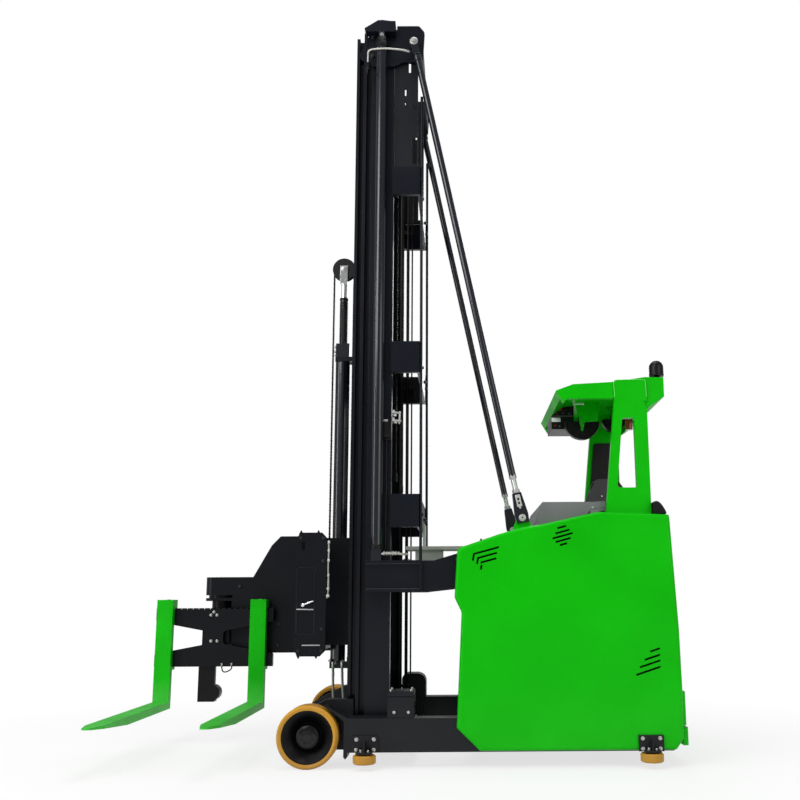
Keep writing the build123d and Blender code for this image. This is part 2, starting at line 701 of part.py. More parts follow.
def stay():
    (xt, zt), (xf, zf) = STAY_TOP, STAY_FOOT
    length = hypot(xt - xf, zt - zf)
    tilt = degrees(atan2(xt - xf, zt - zf))
    tube_low, tube_high = 255, length - 118
    eye = Pos(0, 0, length) * Rot(90, 0, 0) * Cylinder(30, LUG_T)
    eye += Pos(0, 0, length - 60) * Box(46, LUG_T, 120)
    collar = Pos(0, 0, tube_high - 5) * Cylinder(STAY_R + 6, 34)
    tube = Pos(0, 0, (tube_low + tube_high) / 2) * Cylinder(STAY_R, tube_high - tube_low)
    screw = Pos(0, 0, tube_low - 60) * Cylinder(STAY_R - 8, 130)
    clevis = side_slab([(-26, 150), (26, 150), (40, 20), (36, -30), (-36, -30), (-40, 20)], -30, 30)
    clevis -= Pos(0, 0, 10) * Box(200, LUG_T + 2 * SEAT, 130)
    clevis += Rot(90, 0, 0) * Cylinder(STAY_PIN_R, 62)
    whole = eye + collar + tube + screw + clevis
    return Pos(xf, CYL_Y, zf) * Rot(0, tilt, 0) * whole


def mast_outer():
    return rail(OUTER) + head_roller(OUTER, MIDDLE)


def mast_middle():
    frame = both(rail(MIDDLE) + foot_rollers(MIDDLE, OUTER) + head_roller(MIDDLE, INNER))
    y = MIDDLE["web_y"] + 10
    top = MIDDLE["z1"]
    middle = CROSS_Z[1][0] - 40
    for z0, z1 in ((200, 420), (middle, middle + 150), (top - 298, top - 148)):
        frame += box(MIDDLE["x0"] - CROSS_T, MIDDLE["x0"], -y, y, z0, z1)
    ear_in = OUTER["web_y"] + EAR_IN
    ear_out = OUTER["web_y"] + EAR_OUT
    roof = top + BAR_T
    frame += box(*BAR_X, -ear_out, ear_out, top - 1, roof)
    ear = side_slab([(-258, top - 60), (-250, top - 37), (-338, roof + 6), (-374, roof + 6),
                     (BAR_X[0], roof - 3),
                     (BAR_X[0], top - 60)], ear_in, ear_out)
    return frame + both(ear + post(CYL_X, CYL_Y, roof - 1, roof + 16, 16))


def lift_rod():
    return post(CYL_X, CYL_Y, CYL_FOOT + 90, MIDDLE["z1"] - 60, ROD_R)


def mast_inner():
    frame = both(rail(INNER) + foot_rollers(INNER, MIDDLE))
    y = INNER["web_y"]
    top = INNER["z1"]
    middle = LIFT_BLOCK[0] - 101
    for z0, z1 in ((500, 700), (middle, middle + 150), (top - 218, top - 68)):
        frame += box(INNER["x0"] - 14, INNER["x0"], -y, y, z0, z1)
    # The shelf under the free-lift cylinder and the clamp round it leave a way for the chain's rear strand
    shelf_z = LIFT_Z0 - 36
    frame += box(INNER["x0"] - 1, LIFT_X + LIFT_R + 8, -52, 52, shelf_z, LIFT_Z0)
    clamp_z = LIFT_BLOCK[0] - 31
    clamp = box(INNER["x0"] - 1, LIFT_X + LIFT_R + 8, 20, 52, clamp_z, clamp_z + 30)
    clamp += box(LIFT_X - LIFT_R - 12, LIFT_X + LIFT_R + 8, -1, 21, clamp_z, clamp_z + 30)
    return frame + both(clamp) - post(LIFT_X, 0, clamp_z - 1, clamp_z + 31, LIFT_R + SEAT)


def freelift_barrel():
    z0, z1 = LIFT_BLOCK
    barrel = post(LIFT_X, 0, LIFT_Z0 + SEAT, z0 + 1, LIFT_R) + post(LIFT_X, 0, z1 - 1, LIFT_Z1,
                                                                    LIFT_ROD_R + 7)
    barrel += box(LIFT_X - LIFT_R - 9, LIFT_X + LIFT_R + 8, -30, 30, z0, z1)
    barrel += box(LIFT_X - 9, LIFT_X + 9, LIFT_ROD_R + 5, LIFT_ROD_R + 18, z1 - 1, LIFT_Z1 - 60)
    return barrel - post(LIFT_X, 0, LIFT_Z0 + 60, LIFT_Z1 + 1, LIFT_ROD_R + RUNNING)


def freelift_rod():
    r = SHEAVE_R + SHEAVE_FLANGE
    low = SHEAVE_Z - r - 25
    rod = post(LIFT_X, 0, LIFT_Z0 + 150, low + 1, LIFT_ROD_R)
    yoke = box(LIFT_X - 25, LIFT_X + 25, -32, 32, low, low + 15)
    ears = both(box(LIFT_X - 25, LIFT_X + 25, 24, 32, low, SHEAVE_Z + 20))
    return rod + yoke + ears + cross_pin(LIFT_X, -34, 34, SHEAVE_Z, 12)


def chain_sheave():
    r = SHEAVE_R + SHEAVE_FLANGE
    groove = SHEAVE_R - CHAIN_T / 2 - SEAT
    bore = 12 + SEAT
    return ring_y(LIFT_X, SHEAVE_Z,
                  [(bore, -20), (r, -20), (r, -14), (groove, -13), (groove, 13), (r, 14), (r, 20),
                                     (bore, 20)])


def chain_wrap():
    y = CHAIN_W / 2
    r0 = SHEAVE_R - CHAIN_T / 2
    r1 = SHEAVE_R + CHAIN_T / 2
    wrap = ring_y(LIFT_X, SHEAVE_Z, [(r0, -y), (r1, -y), (r1, y), (r0, y)])
    return wrap & box(LIFT_X - 200, LIFT_X + 200, -50, 50, SHEAVE_Z, SHEAVE_Z + 200)


def chain_strand(side, z0):
    # Straight run from the sheave down to an anchor, in front of the cylinder or behind it
    x = LIFT_X + side * SHEAVE_R
    return box(x - CHAIN_T / 2, x + CHAIN_T / 2, -CHAIN_W / 2, CHAIN_W / 2, z0 + SEAT, SHEAVE_Z - SEAT)


# Carriage and turret head

def carriage_frame():
    side = box(INNER["x0"] + 30, CARR_X0 + 1, CARR_SIDE_Y, CARR_SIDE_Y + 25, CARR_Z0 + 41, CARR_Z1 - 5)
    roller_x = groove_x(INNER)
    roller_y = INNER["web_y"] - WEB_T - 2
    for z in (CARR_Z0 + 100, CARR_Z1 - 110):
        side += cross_pin(roller_x, CARR_SIDE_Y + 24, roller_y - 38, z, 16)
        side += cross_pin(roller_x, roller_y - 38, roller_y, z, GROOVE_R)
    frame = both(side)
    x1 = CARR_X0 + TRAV_RAIL_T
    for z0, z1 in ((CARR_Z1 - TRAV_RAIL_H, CARR_Z1), (CARR_Z0, CARR_Z0 + TRAV_RAIL_H)):
        frame += box(CARR_X0, x1, -TRAV_HALF, TRAV_HALF, z0, z1)
    for y in (-380, 0, 380):
        frame += box(CARR_X0, x1 - 6, y - 30, y + 30, CARR_Z0, CARR_Z1 - GROOVE_DEPTH)
    g0 = CARR_X0 + 9
    for z0, z1 in ((CARR_Z1 - GROOVE_DEPTH, CARR_Z1 + 1), (CARR_Z0 - 1, CARR_Z0 + GROOVE_DEPTH)):
        frame -= box(g0, g0 + GROOVE_W, -TRAV_HALF - 1, TRAV_HALF + 1, z0, z1)
    end = side_slab([(TRAV_X0, CARR_Z0 + 31), (TRAV_X0, CARR_Z1 - 33), (TRAV_X0 + 31, CARR_Z1),
                     (x1, CARR_Z1),
                     (TRAV_X1, CARR_Z1 - 28), (TRAV_X1, CARR_Z0 + 28), (x1, CARR_Z0),
                     (TRAV_X0 + 31, CARR_Z0)],
                    TRAV_HALF - 20, TRAV_HALF)
    for x in TEETH_X:
        for z, tip in ((CARR_Z1 - 12, CARR_Z1 + 14), (CARR_Z0 + 12, CARR_Z0 - 14)):
            end += side_slab([(x - 13, z), (x, tip), (x + 13, z)], TRAV_HALF - 20, TRAV_HALF)
    frame += both(end)
    anchor = LIFT_X + SHEAVE_R
    return frame + box(anchor - 10, CARR_X0 + 1, -14, 14, CARR_Z1 - 30, CARR_Z1)


def head_frame():
    y0 = PIVOT_Y - HEAD_HALF
    y1 = PIVOT_Y + HEAD_HALF
    x0 = CARR_X0 + TRAV_RAIL_T + SEAT
    x1 = x0 + HEAD_T
    leg = PIVOT_X - ARM_OVER
    tip = PIVOT_X + ARM_OVER
    outline = [(x1 - 1, HEAD_Z0), (x1 - 1, HEAD_TOP[1])] + GUSSET + [
               (tip, ARM_Z1), (tip, ARM_Z0), (leg, ARM_Z0), (leg, HEAD_Z0 + 60),
               (leg - 50, HEAD_Z0)]
    body = side_slab(outline, y0, y1)
    # Two bays between the cheek plates, open downwards, with a rib between them
    bays = [[(x1 + HEAD_T, HEAD_Z0 - 1), (x1 + HEAD_T, HEAD_TOP[1] - HEAD_T),
             (HEAD_RIB, HEAD_TOP[1] - HEAD_T),
             (HEAD_RIB, HEAD_Z0 - 1)],
            [(HEAD_RIB + HEAD_T, HEAD_Z0 - 1), (HEAD_RIB + HEAD_T, ARM_Z0 + 60),
             (leg - HEAD_T, ARM_Z0 + 60),
             (leg - HEAD_T, HEAD_Z0 - 1)]]
    for bay in bays:
        body -= side_slab(bay, y0 + HEAD_T, y1 - HEAD_T)
    hooks = box(x0, x1, y0, y1, CARR_Z0 - 25, CARR_Z1 + 25)
    g0 = CARR_X0 + 9 + 1
    g1 = g0 + GROOVE_W - 2
    for z_rail, out in ((CARR_Z1, 1), (CARR_Z0, -1)):
        near, far, deep = z_rail + out * SEAT, z_rail + out * 25, z_rail - out * (GROOVE_DEPTH - 2)
        hooks += box(g0, x0 + 1, y0, y1, min(near, far), max(near, far))
        hooks += box(g0, g1, y0, y1, min(deep, far), max(deep, far))
    bearing = box(leg, tip, y0, y1, BEARING_Z, BEARING_Z + BEARING_LIP)
    bearing += post(PIVOT_X, PIVOT_Y, BEARING_Z, ARM_Z0 + 1, ARM_OVER - 5)
    plan = plan_slab([(x0, y0), (tip, y0), (tip, y1), (x0, y1)], HEAD_Z0 - 1, HEAD_TOP[1] + 1,
                     [0, ARM_ROUND, ARM_ROUND, 0])
    return ((body + bearing) & plan) + hooks


def fork_carriage():
    plate_y = PIVOT_Y + PLATE_FRONT
    half = PLATE_HALF
    right = [(half, PLATE_Z1), (half, NOTCH_OUT[1]), (NOTCH_X, NOTCH_IN[1]), (NOTCH_X, NOTCH_IN[0]),
             (half, NOTCH_OUT[0]), (half, PLATE_Z0)]
    outline = right + [(-x, z) for x, z in reversed(right)]
    radii = [0, 12, NOTCH_R, NOTCH_R, 12, 0]
    plate = side_slab([(PIVOT_X + x, z) for x, z in outline], plate_y - PLATE_T, plate_y, radii + radii)
    count = int(half / TOOTH_PITCH - 0.5)
    for i in range(-count, count + 1):
        x = PIVOT_X + i * TOOTH_PITCH
        plate -= box(x - TOOTH_W / 2, x + TOOTH_W / 2, plate_y - PLATE_T - 1, plate_y + 1,
                     PLATE_Z1 - TOOTH_DEPTH, PLATE_Z1 + 1)
    column = post(PIVOT_X, PIVOT_Y, PLATE_Z0 + 40, BEARING_Z - SEAT, COLUMN_R)
    block = box(PIVOT_X - BLOCK_HALF, PIVOT_X + BLOCK_HALF, PIVOT_Y, plate_y - PLATE_T, PLATE_Z0 + 40,
                PLATE_Z1 - 10)
    return plate + column + block


def fork(offset):
    y0 = PIVOT_Y + PLATE_FRONT + SEAT
    y1 = y0 + FORK_L
    back = y0 - PLATE_T - HOOK_T
    x = PIVOT_X + offset
    w = FORK_W / 2
    shank = box(x - w, x + w, y0, y0 + FORK_T, FORK_Z, FORK_TOP)
    blade_side = [(y0, FORK_Z), (y0, FORK_Z + FORK_T), (y1, FORK_Z + FORK_T), (y1, FORK_Z + FORK_T - 9),
                  (y1 - FORK_TAPER, FORK_Z)]
    wire = Polyline(*[(x - w, y, z) for y, z in blade_side], close=True)
    blade = extrude(make_face(wire.edges()), amount=FORK_W, dir=(1, 0, 0))
    tip = FORK_TIP_HALF
    plan = [(x - w, y0), (x - w, y1 - FORK_TIP), (x - tip, y1), (x + tip, y1), (x + w, y1 - FORK_TIP),
            (x + w, y0)]
    blade &= plan_slab(plan, FORK_Z - 1, FORK_Z + FORK_T + 1, [0, 60, 15, 15, 60, 0])
    hook = box(x - w, x + w, back, y0 + 1, PLATE_Z1 + SEAT, FORK_TOP)
    hook += box(x - w, x + w, back, y0 - PLATE_T - 2 * SEAT, PLATE_Z1 - 22, FORK_TOP)
    clip = box(x - w, x + w, back, y0 + 1, PLATE_Z0 - 20, PLATE_Z0 - SEAT)
    return shank + blade + hook + clip


def sensor_bracket():
    x = PIVOT_X + 50
    y = PIVOT_Y + PLATE_FRONT - PLATE_T
    z0 = FORK_Z + 36
    arm = box(x - 55, x + 55, y - 30, y, z0, PLATE_Z0 + 38)
    eye = cross_pin(x - 40, y - 70, y, z0 + 58, 50)
    return arm + eye + box(x - 55, x + 55, y - 70, y - 30, z0, z0 + 60)


def build():
    os.makedirs("parts", exist_ok=True)
    save("chassis_frame", chassis_frame())
    save("guide_brackets", guide_brackets())
    save("foot_boxes", foot_boxes())
    side = body_side()
    save("body_side_left", side)
    save("body_side_right", mirrored(side))
    save("body_front", body_front())
    save("body_hood", body_hood())
    save("body_rear", body_rear())
    save("battery_block", battery_block())
    save("operator_floor", operator_floor())
    save("console", console())
    save("seat", seat())
    guard = guard_post()
    save("guard_post_left", guard)
    save("guard_post_right", mirrored(guard))
    left_cover, right_cover = post_covers()
    save("post_cover_left", left_cover)
    save("post_cover_right", right_cover)
    save("rear_pads", rear_pads())
    save("guard_canopy", guard_canopy())
    save("canopy_box", canopy_box())
    save("canopy_fans", canopy_fans())
    save("amber_lamp", amber_lamp())
    save("beacon", beacon())
    outer = mast_outer()
    save("mast_outer_left", outer)
    save("mast_outer_right", mirrored(outer))
    save("mast_frame", mast_frame())
    save("hose_trays", hose_trays())
    save("guard_bars", guard_bars())
    save("mast_supports", both(mast_support()))
    save("mast_pipes", mast_pipes())
    save("hose_bridge", hose_bridge())
    save("lift_barrels", both(lift_barrel()))
    save("stays", both(stay()))
    save("mast_middle", mast_middle())
    save("lift_rods", both(lift_rod()))
    save("mast_inner", mast_inner())
    save("freelift_barrel", freelift_barrel())
    save("freelift_rod", freelift_rod())
    save("chain_sheave", chain_sheave())
    save("chain_wrap", chain_wrap())
    save("chain_front", chain_strand(1, CARR_Z1))
    save("chain_rear", chain_strand(-1, LIFT_Z0))
    save("carriage_frame", carriage_frame())
    save("head_frame", head_frame())
    save("fork_carriage", fork_carriage())
    save("fork_front", fork(FORK_X[0]))
    save("fork_rear", fork(FORK_X[1]))
    save("sensor_bracket", sensor_bracket())
    tyre = load_tyre()
    rim = load_rim()
    save("load_tyre_left", tyre)
    save("load_tyre_right", mirrored(tyre))
    save("load_rim_left", rim)
    save("load_rim_right", mirrored(rim))
    save("drive_housing", drive_housing())
    save("drive_tyre", drive_tyre())
    save("drive_rim", drive_rim())
    for x, end in zip(GUIDE_X, ("front", "rear")):
        for side, hand in ((1, "left"), (-1, "right")):
            save(f"guide_roller_{end}_{hand}", guide_roller(x, side))


build()
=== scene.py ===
import math
import bpy
import bmesh
from mathutils import Matrix, Vector


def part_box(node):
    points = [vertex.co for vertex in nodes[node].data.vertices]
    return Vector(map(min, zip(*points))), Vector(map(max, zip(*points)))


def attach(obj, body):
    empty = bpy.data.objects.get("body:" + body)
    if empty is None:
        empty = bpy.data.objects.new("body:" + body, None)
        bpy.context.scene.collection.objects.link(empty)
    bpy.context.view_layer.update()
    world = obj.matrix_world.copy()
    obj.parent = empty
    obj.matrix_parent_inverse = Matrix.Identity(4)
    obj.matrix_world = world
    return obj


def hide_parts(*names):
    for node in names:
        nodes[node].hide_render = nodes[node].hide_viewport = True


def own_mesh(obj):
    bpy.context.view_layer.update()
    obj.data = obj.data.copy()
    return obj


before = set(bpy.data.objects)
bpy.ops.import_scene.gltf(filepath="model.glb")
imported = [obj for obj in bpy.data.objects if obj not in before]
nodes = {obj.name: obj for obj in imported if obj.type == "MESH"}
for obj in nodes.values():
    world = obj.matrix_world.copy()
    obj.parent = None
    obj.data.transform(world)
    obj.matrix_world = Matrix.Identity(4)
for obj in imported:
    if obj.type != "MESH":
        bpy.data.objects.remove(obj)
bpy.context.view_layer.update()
scene = bpy.context.scene
print("frame loaded")

# Places are written as the part's source writes them:
# millimetres forward, left and up of the load axle's middle
leftTyre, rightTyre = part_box("load_tyre_left"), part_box("load_tyre_right")
axleX = (leftTyre[0][0] + leftTyre[1][0]) / 2
middleY = (leftTyre[0][1] + leftTyre[1][1] + rightTyre[0][1] + rightTyre[1][1]) / 4


def at(x, y, z):
    return Vector((axleX + x / 1000, middleY + y / 1000, z / 1000))


# The photo's camera
cameraSetup = {
    "place": (-862.8, 5964.5, 939.6),
    "yaw": 0.406, "pitch": 10.03, "roll": -0.35,  # degrees
    "lens": 41.47,
    "shift": (-0.0845, 0.041),
}


def makeCamera(s):
    yaw, pitch, roll = (math.radians(s[k]) for k in ("yaw", "pitch", "roll"))
    right, up, away = Vector((-1, 0, 0)), Vector((0, 0, 1)), Vector((0, -1, 0))
    view = away * math.cos(yaw) + right * math.sin(yaw)
    side = right * math.cos(yaw) - away * math.sin(yaw)
    look = view * math.cos(pitch) + up * math.sin(pitch)
    top = up * math.cos(pitch) - view * math.sin(pitch)
    x = side * math.cos(roll) + top * math.sin(roll)
    y = top * math.cos(roll) - side * math.sin(roll)
    data = bpy.data.cameras.new("camera")
    data.lens = s["lens"]
    data.sensor_width = 36
    data.shift_x, data.shift_y = s["shift"]
    data.clip_end = 100
    cam = bpy.data.objects.new("camera", data)
    scene.collection.objects.link(cam)
    turn = Matrix((x, y, -look)).transposed().to_4x4()
    cam.matrix_world = Matrix.Translation(at(*s["place"])) @ turn
    scene.camera = cam


makeCamera(cameraSetup)


# Finishes
def newMaterial(name):
    material = bpy.data.materials.new(name)
    material.use_nodes = True
    return material, material.node_tree.nodes, material.node_tree.links


def addNode(n, kind, values=None, **settings):
    made = n.new("ShaderNode" + kind)
    for name, value in settings.items():
        setattr(made, name, value)
    for socket, value in (values or {}).items():
        made.inputs[socket].default_value = value
    return made


# Shared by all paints: scale and detail of the patches, their spread, and the strength of the skin
surface = {
    "patchScale": 3.1, "patchDetail": 6, "patchRange": (0.3, 0.7), "glossRange": (0.25, 0.75),
    "smoother": 0.85, "rougher": 1.2, "skin": 0.35, "skinDetail": 3, "coatRough": 0.08, "edgeSamples": 4,
}


def paint(name, colour, rough=0.35, metal=0.0, coat=0.0, peel=0.0006, patch=0.06, dustAndPaintedLight=0.0,
          dustAndPaintedLightColour=(0.30, 0.28, 0.25), dustAndPaintedLightTop=0.5, grain=260.0, specular=0.3, edge=0.003, s=surface):
    # Painted or plain surface: slow colour patches, a fine skin in the gloss, and a tint that grows towards
    # the bottom: settled dust on most paints, a painted highlight (lighter green) on the forks, and a darker
    # lower part on the amber wheels
    material, n, link = newMaterial(name)
    shader = n["Principled BSDF"]
    place = addNode(n, "TexCoord")
    slow = addNode(n, "TexNoise", {"Scale": s["patchScale"], "Detail": s["patchDetail"]})
    link.new(place.outputs["Object"], slow.inputs["Vector"])
    fine = addNode(n, "TexNoise", {"Scale": grain, "Detail": s["skinDetail"]})
    link.new(place.outputs["Object"], fine.inputs["Vector"])
    ramp = addNode(n, "ValToRGB")
    for stop, position, change in zip(ramp.color_ramp.elements, s["patchRange"], (1 - patch, 1 + patch)):
        stop.position = position
        stop.color = (*[min(c * change, 1) for c in colour], 1)
    link.new(slow.outputs["Fac"], ramp.inputs["Fac"])
    last = ramp.outputs["Color"]
    # Tint towards the bottom: dust, and on the forks a painted highlight
    if dustAndPaintedLight > 0:
        split = addNode(n, "SeparateXYZ")
        link.new(place.outputs["Object"], split.inputs["Vector"])
        low = addNode(n, "MapRange", {"From Min": 0.0, "From Max": dustAndPaintedLightTop, "To Min": dustAndPaintedLight, "To Max": 0.0})
        link.new(split.outputs["Z"], low.inputs["Value"])
        broken = addNode(n, "Math", operation="MULTIPLY")
        link.new(low.outputs["Result"], broken.inputs[0])
        link.new(slow.outputs["Fac"], broken.inputs[1])
        mix = addNode(n, "Mix", data_type="RGBA")
        link.new(broken.outputs["Value"], mix.inputs["Factor"])
        link.new(last, mix.inputs["A"])
        mix.inputs["B"].default_value = (*dustAndPaintedLightColour, 1)
        last = mix.outputs["Result"]
    link.new(last, shader.inputs["Base Color"])
    gloss = addNode(n, "MapRange", {"From Min": s["glossRange"][0], "From Max": s["glossRange"][1],
                                    "To Min": rough * s["smoother"], "To Max": min(rough * s["rougher"], 1)})
    link.new(slow.outputs["Fac"], gloss.inputs["Value"])
    link.new(gloss.outputs["Result"], shader.inputs["Roughness"])
    bump = addNode(n, "Bump", {"Strength": s["skin"], "Distance": peel})
    link.new(fine.outputs["Fac"], bump.inputs["Height"])
    if edge > 0:
        rounded = addNode(n, "Bevel", {"Radius": edge}, samples=s["edgeSamples"])
        link.new(rounded.outputs["Normal"], bump.inputs["Normal"])
    link.new(bump.outputs["Normal"], shader.inputs["Normal"])
    for socket, value in (("Metallic", metal), ("Coat Weight", coat), ("Coat Roughness", s["coatRough"]),
                          ("Specular IOR Level", specular)):
        shader.inputs[socket].default_value = value
    return material


finish = {
    "green": paint("green_paint", (0.0022, 0.455, 0.0005), rough=0.36, coat=0.06, peel=0.0004, grain=180,
                   dustAndPaintedLight=0.05, edge=0.005,
                   specular=0.08),
    # Painted highlight: lighter green for the lit edge lines on the canopy laps
    "greenHighlight": paint("green_highlight", (0.12, 0.72, 0.11), rough=0.3, coat=0.2, peel=0.0003, edge=0),
    # Painted highlight: the forks turn lighter green towards the bottom
    "forkGreen": paint("fork_paint", (0.0022, 0.42, 0.0006), rough=0.45, peel=0.0008, patch=0.14, grain=120,
                       specular=0.14,
                       dustAndPaintedLight=1.4, dustAndPaintedLightTop=0.42, dustAndPaintedLightColour=(0.2, 0.75, 0.18)),
    "mast": paint("mast_paint", (0.0026, 0.0040, 0.0085), rough=0.3, coat=0.06, peel=0.0005, dustAndPaintedLight=0.02,
                  specular=0.2),
    "cylinderPaint": paint("cylinder_paint", (0.004, 0.006, 0.0105), rough=0.22, coat=0.25, peel=0.0002,
                           specular=0.4),
    "head": paint("head_paint", (0.0026, 0.0032, 0.0054), rough=0.4, coat=0.03, peel=0.0005, specular=0.15),
    "chassis": paint("chassis_paint", (0.0055, 0.0065, 0.0095), rough=0.42, peel=0.0005, dustAndPaintedLight=0.05,
                     specular=0.22),
    "black": paint("black_plastic", (0.0022, 0.0022, 0.0024), rough=0.36, peel=0.0008, grain=700,
                   specular=0.22),
    "blackGloss": paint("black_enamel", (0.003, 0.003, 0.0033), rough=0.22, coat=0.2, peel=0.0003, grain=300,
                        specular=0.25),
    "deepBlack": paint("unlit_black", (0.0015, 0.0015, 0.0017), rough=0.7, peel=0.0006, grain=500,
                       specular=0.05),
    # Painted shade: near-black for the dark inside behind the side-cover slots
    "ventShade": paint("vent_shade", (0.002, 0.003, 0.002), rough=0.7, peel=0.002, grain=1400, specular=0.05),
    "console": paint("grey_plastic", (0.18, 0.178, 0.19), rough=0.5, peel=0.0012, grain=900, edge=0.002),
    "knobGrey": paint("knob_grey", (0.09, 0.09, 0.095), rough=0.4, peel=0.0006, grain=700),
    "seatCloth": paint("seat_vinyl", (0.05, 0.046, 0.05), rough=0.5, peel=0.0012, grain=620, edge=0),
    "rubber": paint("black_rubber", (0.008, 0.008, 0.008), rough=0.62, peel=0.001, grain=800, specular=0.15),
    # Darker towards the bottom of the wheels and rollers
    "amber": paint("amber_urethane", (0.63, 0.31, 0.028), rough=0.4, peel=0.0012, patch=0.2, grain=90,
                   dustAndPaintedLight=0.8, dustAndPaintedLightTop=0.35,
                   dustAndPaintedLightColour=(0.18, 0.10, 0.03)),
    "steel": paint("bright_steel", (0.62, 0.62, 0.6), rough=0.25, metal=1.0, peel=0.0003, patch=0.1),
    "pipeSteel": paint("pipe_steel", (0.5, 0.49, 0.45), rough=0.35, metal=0.7, peel=0.0004, patch=0.15,
                       grain=400),
    "chrome": paint("chromed_rod", (0.75, 0.76, 0.78), rough=0.12, metal=1.0, peel=0.0001, patch=0.03),
    "chain": paint("oiled_chain", (0.016, 0.015, 0.014), rough=0.35, metal=0.8, peel=0.0008, patch=0.3),
    "lampAmber": paint("lamp_amber", (0.2, 0.032, 0.003), rough=0.2, coat=0.6, peel=0.0006, grain=120),
    "zinc": paint("zinc_plate", (0.45, 0.45, 0.43), rough=0.35, metal=0.6, peel=0.0006, patch=0.15),
    "mastSteel": paint("painted_bolts", (0.010, 0.012, 0.017), rough=0.32, peel=0.0004, patch=0.2,
                       specular=0.3),
    "braid": paint("braided_hose", (0.3, 0.3, 0.28), rough=0.45, metal=0.5, peel=0.003, patch=0.3,
                   grain=1100),
    "red": paint("red_plastic", (0.3, 0.012, 0.008), rough=0.35, peel=0.0006, grain=500),
    # Painted highlight: lighter lines for the lit flange edges of the side supports
    "flangeHighlight": paint("flange_edge_highlight", (0.06, 0.066, 0.078), rough=0.35, peel=0.0004, patch=0.25),
    "whitePlastic": paint("white_plastic", (0.92, 0.92, 0.92), rough=0.4, peel=0.0005, patch=0.03, grain=500),
    "greyZinc": paint("grey_sheet", (0.36, 0.37, 0.38), rough=0.42, metal=0.1, peel=0.0006, patch=0.12,
                      grain=300),
    "bridgeSteel": paint("bridge_sheet", (0.5, 0.5, 0.48), rough=0.45, peel=0.0006, patch=0.15, grain=300),
    "glass": paint("display_glass", (0.006, 0.008, 0.01), rough=0.08, coat=0.8, peel=0.0001, patch=0.02),
}

nodeFinish = {
    "chassis": ["chassis_frame", "guide_brackets", "foot_boxes", "battery_block", "drive_housing",
                "hose_trays"],
    "green": ["body_side_left", "body_side_right", "body_front", "body_hood", "body_rear", "guard_post_left",
              "guard_post_right", "guard_canopy"],
    "forkGreen": ["fork_front", "fork_rear"],
    "mast": ["mast_outer_left", "mast_outer_right", "mast_frame", "guard_bars", "mast_supports",
             "mast_middle", "mast_inner"],
    "cylinderPaint": ["lift_barrels", "stays", "freelift_barrel"],
    "head": ["carriage_frame", "head_frame", "fork_carriage"],
    "black": ["operator_floor", "canopy_box", "canopy_fans", "beacon", "sensor_bracket", "load_rim_left",
              "load_rim_right",
              "drive_rim", "chain_sheave", "post_cover_left", "post_cover_right", "mast_pipes", "rear_pads"],
    "bridgeSteel": ["hose_bridge"],
    "console": ["console"],
    "seatCloth": ["seat"],
    "amber": ["load_tyre_left", "load_tyre_right", "guide_roller_front_left", "guide_roller_front_right",
              "guide_roller_rear_left", "guide_roller_rear_right", "drive_tyre"],
    "chrome": ["lift_rods", "freelift_rod"],
    "chain": ["chain_wrap", "chain_front", "chain_rear"],
    "lampAmber": ["amber_lamp"],
}
for key, names in nodeFinish.items():
    for name in names:
        nodes[name].data.materials.clear()
        nodes[name].data.materials.append(finish[key])
print("materials laid on", sum(len(v) for v in nodeFinish.values()), "of", len(nodes), "nodes")


# Shapes: each adds to a bmesh, with places and sizes in millimetres
def along(place, axis):
    return Matrix.Translation(place) @ Vector(axis).to_track_quat("Z", "Y").to_matrix().to_4x4()


def soften(bm, verts, edge, sharpest=0.6):
    # Rounds the hard edges of a new shape
    if edge <= 0:
        return
    edges = {e for v in verts for e in v.link_edges if len(e.link_faces) == 2}
    hard = [e for e in edges if e.calc_face_angle() > sharpest]
    bmesh.ops.bevel(bm, geom=hard, offset=edge / 1000, offset_type="OFFSET", affect="EDGES", segments=2,
                    profile=0.5, material=-1)


def addBlock(bm, low, high, edge=2, turn=None):
    a, b = at(*low), at(*high)
    verts = bmesh.ops.create_cube(bm, size=1)["verts"]
    bmesh.ops.scale(bm, vec=[abs(v) for v in b - a], verts=verts)
    if turn:
        axis, angle = turn
        bmesh.ops.rotate(bm, cent=(0, 0, 0), matrix=Matrix.Rotation(math.radians(angle), 3, axis),
                         verts=verts)
    bmesh.ops.translate(bm, vec=(a + b) / 2, verts=verts)
    soften(bm, verts, edge)


def addCone(bm, sides, near, far, depth, matrix):
    return bmesh.ops.create_cone(bm, cap_ends=True, segments=sides, radius1=near / 1000, radius2=far / 1000,
                                 depth=depth / 1000, matrix=matrix)["verts"]


def addRod(bm, start, end, radius, sides=24, tip=None, edge=0.8):
    a, b = at(*start), at(*end)
    far = radius if tip is None else tip
    soften(bm, addCone(bm, sides, radius, far, (b - a).length * 1000, along((a + b) / 2, b - a)), edge, 0.9)


def addBolt(bm, place, axis, across=19, washer=True):
    # Hexagon head on a washer
    base, axis = at(*place), Vector(axis).normalized()
    height, corner = across * 0.6, across * 0.577
    if washer:
        addCone(bm, 20, across * 0.68, across * 0.66, 3, along(base + axis * 0.0015, axis))
        base = base + axis * 0.003
    head = addCone(bm, 6, corner, corner, height, along(base + axis * height / 2000, axis))
    soften(bm, head, across * 0.045)


def join(bm, part):
    mesh = bpy.data.meshes.new("part")
    part.to_mesh(mesh)
    part.free()
    bm.from_mesh(mesh)
    bpy.data.meshes.remove(mesh)


